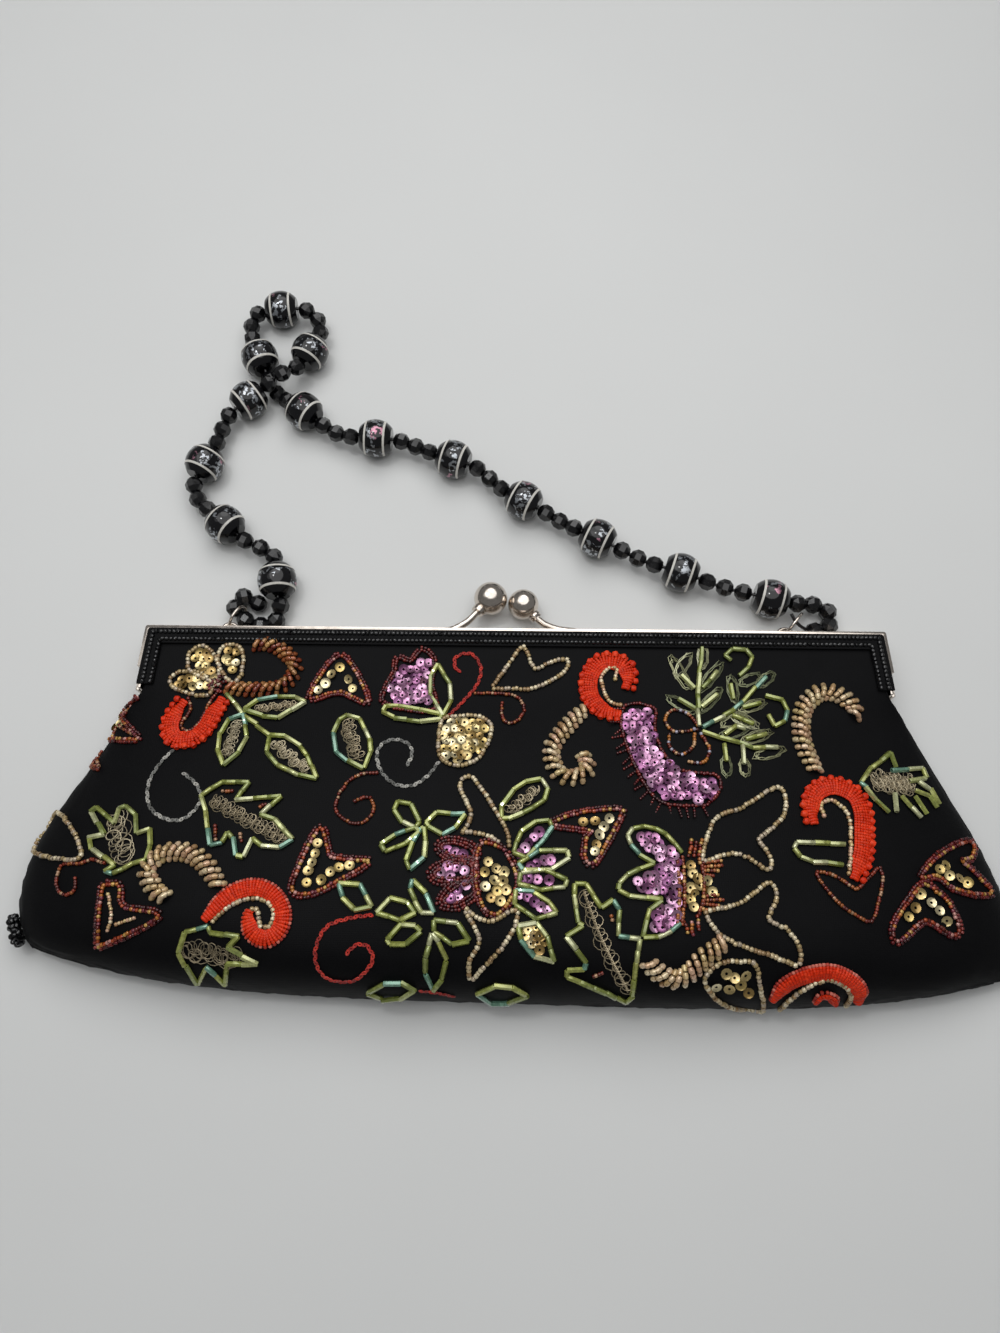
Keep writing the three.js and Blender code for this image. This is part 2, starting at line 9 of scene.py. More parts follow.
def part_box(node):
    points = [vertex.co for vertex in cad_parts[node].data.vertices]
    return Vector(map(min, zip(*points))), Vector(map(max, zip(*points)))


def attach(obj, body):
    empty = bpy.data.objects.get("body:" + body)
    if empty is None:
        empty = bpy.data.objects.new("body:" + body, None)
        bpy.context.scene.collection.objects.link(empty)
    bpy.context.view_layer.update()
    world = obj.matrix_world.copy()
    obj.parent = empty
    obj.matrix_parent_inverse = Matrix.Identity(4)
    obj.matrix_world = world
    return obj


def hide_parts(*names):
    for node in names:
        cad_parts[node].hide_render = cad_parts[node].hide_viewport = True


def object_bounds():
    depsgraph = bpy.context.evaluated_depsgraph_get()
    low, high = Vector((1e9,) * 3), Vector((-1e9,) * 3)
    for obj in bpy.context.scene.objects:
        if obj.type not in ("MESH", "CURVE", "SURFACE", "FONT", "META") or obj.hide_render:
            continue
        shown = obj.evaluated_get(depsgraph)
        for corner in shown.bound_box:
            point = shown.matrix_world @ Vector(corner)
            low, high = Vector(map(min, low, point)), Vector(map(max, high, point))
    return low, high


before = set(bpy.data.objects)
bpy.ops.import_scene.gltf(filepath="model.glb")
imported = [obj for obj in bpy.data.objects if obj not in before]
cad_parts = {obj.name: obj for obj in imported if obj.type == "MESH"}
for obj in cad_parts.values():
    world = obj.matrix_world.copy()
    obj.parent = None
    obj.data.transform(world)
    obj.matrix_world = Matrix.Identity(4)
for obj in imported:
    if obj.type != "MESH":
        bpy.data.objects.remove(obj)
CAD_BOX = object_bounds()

bl_info = {
    "name": "Beaded kiss lock purse",
    "version": (1, 0, 0),
    "blender": (4, 5, 0),
    "location": "3D View > Sidebar > Purse",
    "description": "Builds a black satin purse with beaded flowers, a nickel frame and a glass bead strap",
    "category": "Object",
}

MM = 0.001
BODY = "root"
BAG_FRONT = "bag_front_satin"

# Viewpoint: where the camera stands, in metres in the purse's own frame, and how it is turned
PHOTO_WIDTH = 1000
PHOTO_HEIGHT = 1333
FOCAL_PIXELS = 1000
CAMERA_PLACE = (-0.004525, -0.050853, 0.285157)
CAMERA_ELEVATION = math.radians(72)
CAMERA_ROLL = math.radians(0.539)
SENSOR = 36


def linear(hex_value):
    """An sRGB hex value as linear red, green and blue."""
    shares = np.array([int(hex_value[place:place + 2], 16) for place in (0, 2, 4)]) / 255
    return np.where(shares <= 0.04045, shares / 12.92, ((shares + 0.055) / 1.055) ** 2.4)


def length(name, description, millimetres):
    """A property that holds a length, with its default given in millimetres."""
    return FloatProperty(name=name, description=description, default=millimetres * MM, min=0, unit="LENGTH")


def colour(name, description, hex_value):
    """A property that holds one colour, with its default given as an sRGB hex value."""
    default = (*linear(hex_value), 1)
    return FloatVectorProperty(name=name, description=description, default=default, size=4, subtype="COLOR")


def tint_list(name, things, hex_values):
    """A property that holds the tints a batch of small things is mixed from, as sRGB hex values."""
    description = f"Tints of the {things}, as sRGB hex values"
    return StringProperty(name=name, description=description, default=hex_values)


class PurseClothSettings(bpy.types.PropertyGroup):
    satin: colour("Satin", "Colour of the satin where the light runs along its threads", "0A0A0C")
    satin_shade: colour("Satin shade", "Colour of the satin between its threads", "040405")
    thread_spacing: length("Thread spacing", "Distance between the satin's threads as drawn", 0.55)
    pucker_height: length("Pucker height", "How far the cloth puckers beside the seam", 0.35)
    pucker_spacing: length("Pucker spacing", "Distance between puckers along the seam", 7.5)
    pucker_fade: length("Pucker fade", "How far from the seam the puckers reach", 9)
    slack_height: length("Slack height", "How far the cloth waves where it hangs slack", 0.4)
    slack_spacing: length("Slack spacing", "Distance between the waves of slack cloth", 46)
    knot_bead: length("Knot bead", "Diameter of the beads in the corner knots", 1.7)


class PurseMetalSettings(bpy.types.PropertyGroup):
    nickel: colour("Nickel", "Colour of the plated metal", "D8CEC4")
    nickel_worn: colour("Worn nickel", "Colour of the plating where it is rubbed", "A89F94")
    edge: length("Edge", "Width of the rounded edges of the frame", 0.35)
    ring_opening: FloatProperty(
        name="Ring opening", description="Angle left open where a ring is closed up",
        default=math.radians(7), subtype="ANGLE",
    )
    collar_bead: length("Collar bead", "Thickness of the rolled rim on a clasp ball's collar", 0.9)
    rivet_dome: length("Rivet dome", "Height of a hinge rivet's head", 0.85)


class PurseStrapSettings(bpy.types.PropertyGroup):
    glass: colour("Black glass", "Colour of the large beads' glass", "0B0B0E")
    band: colour("White band", "Colour of the bands laid round a large bead", "E4E2DC")
    band_shade: colour("White band shade", "Colour of the thinner places in a band", "BDB9B0")
    foil: colour("Foil", "Colour of the foil flecks in the glass", "A9ADB2")
    foil_tinted: colour("Tinted foil", "Colour of the few flecks with a tint", "B07F90")
    jet: colour("Jet", "Colour of the small cut beads", "0A0A0C")
    band_offset: length("Band offset", "Distance of a band's middle from the bead's middle", 2.95)
    band_width: length("Band width", "Width of a white band", 0.6)
    band_height: length("Band height", "How far a band stands out of the bead", 0.12)
    fleck_size: length("Fleck size", "Width of a foil fleck", 2.3)
    thread: length("Thread", "Radius of the stringing thread", 0.5)
    trim_bead: length("Trim bead", "Diameter of the beads sewn along the frame", 1.55)
    trim_pitch: length("Trim pitch", "Distance between the beads sewn along the frame", 1.25)


class PurseBeadworkSettings(bpy.types.PropertyGroup):
    tan: tint_list("Tan beads", "tan lined beads", "C8B48C AA9468 E0D2B0 9A7E58 B8A890")
    gold: tint_list("Gold beads", "gold lined beads", "DCC296 CCA878 EAD8B4 B08A60 D6AE90 CCB47E")
    # The pinkish C08A80 is a painted highlight: it stands for the whitish pink highlights on shiny beads.
    bronze: tint_list("Bronze beads", "bronze beads", "8A3016 A5461E 5E1A0E B4702C C49A50 742E38 C08A80")
    burgundy: tint_list("Burgundy beads", "dark red beads", "4C0A0E 620F13 38070A 782018")
    # The pale B08868 is a painted glint: it stands for the gold and white glints on the scrolls.
    brown: tint_list("Brown beads", "brown beads", "6E2212 852F18 541408 9A5628 B08868")
    # The pale CC9C5E is a painted highlight: it stands for the golden highlights on the rope's beads.
    orange: tint_list("Orange beads", "orange brown beads", "8E3E1C B46C38 601E0E CC9C5E 7E3018 9E5C30")
    mixed: tint_list("Mixed beads", "loops of mixed beads", "6A2414 8A4020 40140E C49A70 A8A4B4 B4702C")
    # The teal 709A84 paints the glints of the rainbow finish into the tint; the other tints are the lime
    # glass.
    lime: tint_list(
        "Lime bugles", "lime lined bugles",
        "98A04E 848E44 B4B87A A4A85A C2C496 909848 A0A654 8A9450 709A84",
    )
    red: tint_list("Red beads", "opaque red beads", "DC3410 CC2C0A E6401A D4300A")
    # Painted glints: the outermost beads of a red band mix paler reds, which paint the glints where the
    # rows curve down, with a darker red.
    red_edge_glint: tint_list("Red edge", "beads at the outer edge of a red band", "B8483A A0342A D07464")
    pink: tint_list("Pink sequins", "pink sequins", "BC82A8 9E628E D4A4C4 78446E C08CB0")
    gilt: tint_list("Gilt sequins", "gilt sequins", "D8C48C E4D6AC C4AA68 CEB67C A88A50")
    silver_thread: tint_list("Silver thread", "grey chain stitch", "7C7C78 A2A09A 5E5E5A B4B2AA")
    red_thread: tint_list("Red thread", "red chain stitch", "B02014 C42E1C 94180E")
    wire: tint_list("Wire", "silvery coil in the leaves", "B0A286 948870 C2B69A")
    fern_wire: tint_list("Fern wire", "wire round the fern's leaves", "9A9A78 84886A B0B090")
    bugle: length("Bugle length", "Length of a lime bugle", 3.9)
    bugle_width: length("Bugle width", "Diameter of a lime bugle", 1.45)
    sequin: length("Sequin", "Diameter of a sequin", 2.9)
    rope_bead: length("Rope bead", "Diameter of the beads in a rope stitch", 1.7)
    rope_pitch: length("Rope pitch", "Distance between rope stitches", 2.1)
    wire_radius: length("Wire radius", "Radius of the wire coiled in the leaves", 0.12)
    seed: IntProperty(name="Seed", description="Start of the shuffle of tints and tilts", default=11, min=0)


class PurseSettings(bpy.types.PropertyGroup):
    cloth: PointerProperty(type=PurseClothSettings)
    metal: PointerProperty(type=PurseMetalSettings)
    strap: PointerProperty(type=PurseStrapSettings)
    beadwork: PointerProperty(type=PurseBeadworkSettings)


# Materials

# A wave texture draws about three ribs to a metre for each step of its scale
WAVE_SCALE_PER_RIB = 0.31
# A noise keeps mostly to this span
NOISE_SPAN = {"From Min": 0.3, "From Max": 0.7}
# Widths of the marks in each surface
LINT_SIZE = 6.25 * MM
RUB_SIZE = 2.381 * MM
HAZE_SIZE = 2 * MM
MILK_SIZE = 1.111 * MM
MOTTLE_SIZE = 142.9 * MM
# Foil: how far its flakes are bent, and the shares of flakes left out, of each torn away and left untinted
FOIL_BEND = 0.004
FOIL_LEFT_OUT = 0.6
FOIL_TORN = 0.52
FOIL_UNTINTED = 0.88


def feed(tree, node, links):
    """Links the outputs that feed a node's sockets."""
    for name, source in links.items():
        tree.links.new(source, node.inputs[name])


def add_node(tree, kind, settings, links=None):
    """Adds a node. Settings go on the node or on its sockets, and links name what feeds a socket."""
    node = tree.nodes.new(kind)
    for name, value in settings.items():
        if isinstance(name, str) and hasattr(node, name):
            setattr(node, name, value)
        else:
            node.inputs[name].default_value = value
    feed(tree, node, links or {})
    return node


def new_material(name, settings):
    """A material with one shader, whose settings are the same all over."""
    material = bpy.data.materials.new(name)
    material.use_nodes = True
    tree = material.node_tree
    tree.nodes.clear()
    shader = add_node(tree, "ShaderNodeBsdfPrincipled", settings)
    add_node(tree, "ShaderNodeOutputMaterial", {}, {"Surface": shader.outputs["BSDF"]})
    coordinates = add_node(tree, "ShaderNodeTexCoord", {}).outputs["Object"]
    return material, tree, shader, coordinates


def black_satin(cloth):
    """Woven satin: long floats of thread give a near black with a soft, broad sheen and faint ribs."""
    material, tree, shader, coordinates = new_material("black_satin", {
        "Roughness": 0.6, "Specular IOR Level": 0.09, "Sheen Weight": 0.02, "Sheen Roughness": 0.4,
    })
    # Real satin has about ten threads to a millimetre: drawn coarser so that the weave shows
    scale = WAVE_SCALE_PER_RIB / cloth.thread_spacing
    ribs = {"Scale": scale, "Distortion": 1.2, "Detail": 1, "Detail Scale": 2}
    across, along = (
        add_node(tree, "ShaderNodeTexWave", {"bands_direction": way, **ribs}, {"Vector": coordinates})
        for way in ("X", "Y")
    )
    weave = add_node(tree, "ShaderNodeMath", {"operation": "MULTIPLY"},
                     {0: across.outputs["Fac"], 1: along.outputs["Fac"]})
    lint = add_node(tree, "ShaderNodeTexNoise", {"Scale": 1 / LINT_SIZE, "Detail": 5, "Roughness": 0.7},
                    {"Vector": coordinates})
    shade = add_node(tree, "ShaderNodeMixRGB", {"Color1": cloth.satin_shade, "Color2": cloth.satin},
                     {"Fac": lint.outputs["Fac"]})
    bump = add_node(tree, "ShaderNodeBump", {"Strength": 0.18, "Distance": 0.12 * MM},
                    {"Height": weave.outputs["Value"]})
    feed(tree, shader, {"Base Color": shade.outputs["Color"], "Normal": bump.outputs["Normal"]})
    return material


def nickel_plate(metal):
    """Polished nickel plating: a bright, slightly warm mirror with fine rubbing marks."""
    material, tree, shader, coordinates = new_material("nickel_plate", {"Metallic": 1})
    rub = add_node(tree, "ShaderNodeTexNoise", {"Scale": 1 / RUB_SIZE, "Detail": 6, "Roughness": 0.65},
                   {"Vector": coordinates})
    wear = add_node(tree, "ShaderNodeMapRange", {
        "From Min": 0.45, "From Max": 0.75, "To Min": 0, "To Max": 0.6,
    }, {"Value": rub.outputs["Fac"]})
    shade = add_node(tree, "ShaderNodeMixRGB", {"Color1": metal.nickel, "Color2": metal.nickel_worn},
                     {"Fac": wear.outputs["Result"]})
    polish = add_node(tree, "ShaderNodeMapRange", {
        "From Min": 0.3, "From Max": 0.8, "To Min": 0.1, "To Max": 0.26,
    }, {"Value": rub.outputs["Fac"]})
    bump = add_node(tree, "ShaderNodeBump", {"Strength": 0.05, "Distance": 0.05 * MM},
                    {"Height": rub.outputs["Fac"]})
    feed(tree, shader, {
        "Base Color": shade.outputs["Color"], "Roughness": polish.outputs["Result"],
        "Normal": bump.outputs["Normal"],
    })
    return material


def jet_glass(strap):
    """Pressed and cut jet glass: black, with hard bright glints where a facet faces the light."""
    material, tree, shader, coordinates = new_material("jet_glass", {"Base Color": strap.jet, "IOR": 1.55})
    haze = add_node(tree, "ShaderNodeTexNoise", {"Scale": 1 / HAZE_SIZE, "Detail": 3},
                    {"Vector": coordinates})
    polish = add_node(tree, "ShaderNodeMapRange", {**NOISE_SPAN, "To Min": 0.1, "To Max": 0.3},
                      {"Value": haze.outputs["Fac"]})
    feed(tree, shader, {"Roughness": polish.outputs["Result"]})
    return material


def foil_glass(strap):
    """Lampwork glass: glossy black with crumpled silver foil caught under the surface between the bands."""
    material, tree, shader, coordinates = new_material("foil_glass", {
        "IOR": 1.5, "Specular IOR Level": 0.3, "Coat Weight": 0.35, "Coat Roughness": 0.04,
    })
    crumple = add_node(tree, "ShaderNodeTexNoise", {"Scale": 1 / (3 * strap.fleck_size), "Detail": 4},
                       {"Vector": coordinates})
    bent = add_node(tree, "ShaderNodeMixRGB", {"blend_type": "LINEAR_LIGHT", "Fac": FOIL_BEND},
                    {"Color1": coordinates, "Color2": crumple.outputs["Color"]})
    flakes = add_node(tree, "ShaderNodeTexVoronoi", {"Scale": 1 / strap.fleck_size, "Randomness": 1},
                      {"Vector": bent.outputs["Color"]})
    chosen = add_node(tree, "ShaderNodeSeparateColor", {}, {"Color": flakes.outputs["Color"]})
    kept = add_node(tree, "ShaderNodeMath", {"operation": "GREATER_THAN", 1: FOIL_LEFT_OUT},
                    {0: chosen.outputs["Red"]})
    tears = add_node(tree, "ShaderNodeTexNoise", {
        "Scale": 2 / strap.fleck_size, "Detail": 4, "Roughness": 0.6,
    }, {"Vector": coordinates})
    whole = add_node(tree, "ShaderNodeMath", {"operation": "GREATER_THAN", 1: FOIL_TORN},
                     {0: tears.outputs["Fac"]})
    fleck = add_node(tree, "ShaderNodeMath", {"operation": "MULTIPLY"},
                     {0: kept.outputs["Value"], 1: whole.outputs["Value"]})
    waist = add_node(tree, "ShaderNodeAttribute", {"attribute_name": "waist"})
    foil = add_node(tree, "ShaderNodeMath", {"operation": "MULTIPLY"},
                    {0: fleck.outputs["Value"], 1: waist.outputs["Fac"]})
    tinted = add_node(tree, "ShaderNodeMath", {"operation": "GREATER_THAN", 1: FOIL_UNTINTED},
                      {0: chosen.outputs["Green"]})
    foil_colour = add_node(tree, "ShaderNodeMixRGB", {"Color1": strap.foil, "Color2": strap.foil_tinted},
                           {"Fac": tinted.outputs["Value"]})
    shade = add_node(tree, "ShaderNodeMixRGB", {"Color1": strap.glass},
                     {"Fac": foil.outputs["Value"], "Color2": foil_colour.outputs["Color"]})
    rough = add_node(tree, "ShaderNodeMapRange", {"To Min": 0.1, "To Max": 0.35},
                     {"Value": foil.outputs["Value"]})
    bump = add_node(tree, "ShaderNodeBump", {"Strength": 0.25, "Distance": 0.1 * MM},
                    {"Height": crumple.outputs["Fac"]})
    feed(tree, shader, {
        "Base Color": shade.outputs["Color"], "Metallic": foil.outputs["Value"],
        "Roughness": rough.outputs["Result"], "Normal": bump.outputs["Normal"],
    })
    return material


def white_band_glass(strap):
    """A trailed thread of opaque white glass: milky and smooth, with a soft gloss."""
    material, tree, shader, coordinates = new_material("white_band_glass", {
        "Coat Weight": 0.4, "Coat Roughness": 0.1,
    })
    milk = add_node(tree, "ShaderNodeTexNoise", {"Scale": 1 / MILK_SIZE, "Detail": 2},
                    {"Vector": coordinates})
    shade = add_node(tree, "ShaderNodeMixRGB", {"Color1": strap.band, "Color2": strap.band_shade},
                     {"Fac": milk.outputs["Fac"]})
    feed(tree, shader, {"Base Color": shade.outputs["Color"]})
    return material


def tinted_material(name, settings, roughness_low, roughness_high, grain):
    """A finish whose colour is each small thing's own tint, with its gloss broken up by a fine grain."""
    material, tree, shader, coordinates = new_material(name, settings)
    tint = add_node(tree, "ShaderNodeAttribute", {"attribute_name": "tint"})
    noise = add_node(tree, "ShaderNodeTexNoise", {"Scale": 1 / grain, "Detail": 2}, {"Vector": coordinates})
    depth = add_node(tree, "ShaderNodeMapRange", {**NOISE_SPAN, "To Min": 0.72, "To Max": 1.12},
                     {"Value": noise.outputs["Fac"]})
    shade = add_node(tree, "ShaderNodeVectorMath", {"operation": "SCALE"},
                     {"Vector": tint.outputs["Color"], "Scale": depth.outputs["Result"]})
    polish = add_node(tree, "ShaderNodeMapRange", {
        **NOISE_SPAN, "To Min": roughness_low, "To Max": roughness_high,
    }, {"Value": noise.outputs["Fac"]})
    feed(tree, shader, {"Base Color": shade.outputs["Vector"], "Roughness": polish.outputs["Result"]})
    return material


def lined_glass():
    """Seed beads of clear glass with a coloured lining: deep colour under a wet gloss."""
    return tinted_material("lined_glass", {
        "Metallic": 0.25, "Coat Weight": 0.35, "Coat Roughness": 0.08, "IOR": 1.5,
    }, roughness_low=0.26, roughness_high=0.46, grain=0.6 * MM)


def lined_rope_glass():
    """Long seed beads with a bright lining, laid side by side: a pale streak down each bead."""
    return tinted_material("lined_rope_glass", {
        "Metallic": 0.3, "Coat Weight": 0.8, "Coat Roughness": 0.06, "IOR": 1.5,
    }, roughness_low=0.2, roughness_high=0.38, grain=0.6 * MM)


def opaque_red_glass():
    """Opaque pressed glass: an even, saturated red with a soft highlight."""
    return tinted_material("opaque_red_glass", {"Specular IOR Level": 0.25},
                           roughness_low=0.34, roughness_high=0.5, grain=0.8 * MM)


def lined_bugle_glass():
    """Cut tubes of lime lined glass with a rainbow finish, whose glints are painted into the teal tints:
    bright streaks along each tube.
    """
    return tinted_material("lined_bugle_glass", {
        "Metallic": 0.35, "Coat Weight": 1, "Coat Roughness": 0.05, "IOR": 1.52,
    }, roughness_low=0.14, roughness_high=0.34, grain=1.1 * MM)


def sequin_foil():
    """Pressed metallised film: each disc is a small tilted mirror, bright or dark by its tilt."""
    return tinted_material("sequin_foil", {"Metallic": 0.8, "Coat Weight": 0.5, "Coat Roughness": 0.08},
                           roughness_low=0.2, roughness_high=0.36, grain=1.4 * MM)


def metallic_thread():
    """Spun thread of chain stitch: fibrous, with a dull glint on each loop."""
    return tinted_material("metallic_thread", {"Metallic": 0.2, "Sheen Weight": 0.2},
                           roughness_low=0.5, roughness_high=0.75, grain=0.35 * MM)


def purl_wire():
    """Fine coiled metal wire, a little tarnished: thin grey lines with small sparks."""
    return tinted_material("purl_wire", {"Metallic": 0.75},
                           roughness_low=0.35, roughness_high=0.55, grain=0.5 * MM)


def floor_paper():
    """Matt pale paper: almost even grey with a barely seen mottle."""
    material, tree, shader, coordinates = new_material("floor_paper", {"Roughness": 0.85})
    mottle = add_node(tree, "ShaderNodeTexNoise", {"Scale": 1 / MOTTLE_SIZE, "Detail": 3},
                      {"Vector": coordinates})
    shade = add_node(tree, "ShaderNodeMixRGB", {
        "Color1": (*linear("D2D3D2"), 1), "Color2": (*linear("DADBDA"), 1),
    }, {"Fac": mottle.outputs["Fac"]})
    feed(tree, shader, {"Base Color": shade.outputs["Color"]})
    return material


# Modelling tools

MERGE_GAP = 0.002 * MM
POINT_STEP = 0.001 * MM
TINY = 1e-12
# The shading runs smoothly over bends up to these angles
ROUND_BEND = math.radians(50)
FRAME_BEND = math.radians(46)
GLASS_BEND = math.radians(40)
# A bar of the CAD model is made of rings with eight corners, and a bead's hole has its rims near the middle
RING_CORNERS = 8
BORE_RIM_SHARE = 0.9
STRING_SIDES = 8
# A direction that no thread follows, which gives a tube its first side
TUBE_LEAN = (0.31, 0.17, 0.93)
JET_TINT = "050506"
# A face is an end when it faces along the axis by this share and lies this near to the end
END_FACING = 0.99
NEAR_END = 0.98
# Segments round a small ring and through it
SMALL_RING = (8, 5)
SEQUIN_RING = (10, 5)
# Parts of a seed bead, chain loop, sequin and bugle, as shares of their width
SEED_HOLE = 0.13
SEED_LENGTH = 1.9
LOOP_HOLE = 0.1
LOOP_STRETCH = (1.6, 1, 0.95)
SEQUIN_HOLE = 0.09
SEQUIN_THICKNESS = 0.14
SEQUIN_RIM = 0.4
SEQUIN_CUP = 0.09
BUGLE_SIDES = 6
BUGLE_ROUNDING = 0.06
BUGLE_SINK = 0.04
BUGLE_WALL = 0.16


def only(piece):
    """Selects one object and makes it active."""
    bpy.ops.object.select_all(action="DESELECT")
    piece.select_set(True)
    bpy.context.view_layer.objects.active = piece


def in_edit_mode(piece):
    """Opens an object in edit mode with everything selected."""
    only(piece)
    bpy.ops.object.mode_set(mode="EDIT")
    bpy.ops.mesh.select_all(action="SELECT")


def leave_edit_mode():
    """Goes back to object mode, where a mesh can be read and changed in code."""
    bpy.ops.object.mode_set(mode="OBJECT")


def cut_off(height, hand):
    """Cuts the open mesh square across, above or below its middle, and closes it."""
    bpy.ops.mesh.select_all(action="SELECT")
    bpy.ops.mesh.bisect(plane_co=(0, 0, hand * height), plane_no=(0, 0, hand),
                        clear_outer=True, use_fill=True)


def new_piece(name, add_primitive, **settings):
    """A new piece that starts from a primitive, with its place and turn put into its mesh."""
    bpy.ops.object.select_all(action="DESELECT")
    add_primitive(**settings)
    bpy.ops.object.transform_apply(location=True, rotation=True, scale=True)
    piece = bpy.context.object
    piece.name = name
    return piece


def apply_modifier(piece, kind, settings):
    """Adds a modifier, sets it and applies it."""
    only(piece)
    modifier = piece.modifiers.new(kind.lower(), kind)
    for name, value in settings.items():
        setattr(modifier, name, value)
    bpy.ops.object.modifier_apply(modifier=modifier.name)


def shade_round(piece, bend):
    """Smooths the shading over all edges that bend less than an angle."""
    only(piece)
    bpy.ops.object.shade_smooth_by_angle(angle=bend)


def copy_of_node(node, name):
    """A new piece with a CAD node's shape, its loose triangles merged into one skin."""
    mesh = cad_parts[node].data.copy()
    mesh.materials.clear()
    piece = bpy.data.objects.new(name, mesh)
    bpy.context.scene.collection.objects.link(piece)
    in_edit_mode(piece)
    bpy.ops.mesh.customdata_custom_splitnormals_clear()
    bpy.ops.mesh.remove_doubles(threshold=MERGE_GAP)
    leave_edit_mode()
    return piece


def placed_copy(template, name, matrix):
    """A copy of a modelled piece with its own mesh, moved to its place."""
    piece = template.copy()
    piece.data = template.data.copy()
    piece.name = name
    piece.data.transform(matrix)
    bpy.context.scene.collection.objects.link(piece)
    return piece


def finish_piece(piece, slot, nodes, *materials):
    """Gives a piece its materials, sets it on the body and hides the CAD nodes that it stands for."""
    piece.data.name = piece.name
    for material in materials:
        piece.data.materials.append(material)
    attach(piece, BODY)
    if nodes:
        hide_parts(*nodes)


def clear_selection(kind):
    """Deselects everything in edit mode and leaves it, so that faces or points can be picked in code."""
    bpy.ops.mesh.select_mode(type=kind)
    bpy.ops.mesh.select_all(action="DESELECT")
    leave_edit_mode()


def select_faces(piece, test):
    """Selects the faces whose centre and normal pass a test, in edit mode."""
    clear_selection("FACE")
    for face in piece.data.polygons:
        face.select = bool(test(face.center, face.normal))
    bpy.ops.object.mode_set(mode="EDIT")


def select_points(piece, test):
    """Selects the points whose place passes a test, in edit mode."""
    clear_selection("VERT")
    for vertex in piece.data.vertices:
        vertex.select = bool(test(vertex.co))
    bpy.ops.object.mode_set(mode="EDIT")


def unit(vectors):
    """Vectors along the last axis, made one long."""
    return vectors / np.maximum(np.linalg.norm(vectors, axis=-1, keepdims=True), TINY)


def axes_matrix(centre, along):
    """A matrix that takes +Z to a direction and the origin to a centre."""
    turn = Vector((0, 0, 1)).rotation_difference(Vector(along))
    return Matrix.Translation(Vector(centre)) @ turn.to_matrix().to_4x4()


def node_mesh(node):
    """A CAD node's points, each once, and its triangles."""
    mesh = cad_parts[node].data
    points = np.array([vertex.co for vertex in mesh.vertices])
    steps = np.round(points / POINT_STEP)
    _, first, place = np.unique(steps, axis=0, return_index=True, return_inverse=True)
    corners = np.array([polygon.vertices for polygon in mesh.polygons])
    return points[first], place.reshape(-1)[corners]


def rings_along(node, start):
    """Centres and radii of the rings that a bar is made of, in order from the end nearest to a point."""
    points, triangles = node_mesh(node)
    beside = [set() for _ in points]
    for a, b, c in triangles:
        beside[a].update((b, c))
        beside[b].update((a, c))
        beside[c].update((a, b))
    ring = np.argsort(np.linalg.norm(points - start, axis=1))[:RING_CORNERS]
    seen = set(ring)
    centres = []
    radii = []
    while len(ring):
        corners = points[list(ring)]
        centre = corners.mean(axis=0)
        centres.append(centre)
        radii.append(np.linalg.norm(corners - centre, axis=1).mean())
        ring = {near for corner in ring for near in beside[corner]} - seen
        seen |= ring
    return np.array(centres), np.array(radii)


def bead_place(node):
    """Centre and direction of a large bead, found from the rims of its hole."""
    points, _ = node_mesh(node)
    centre = points.mean(axis=0)
    reach = np.linalg.norm(points - centre, axis=1)
    rims = points[reach < BORE_RIM_SHARE * reach.max()] - centre
    _, _, directions = np.linalg.svd(rims)
    return centre, directions[0]


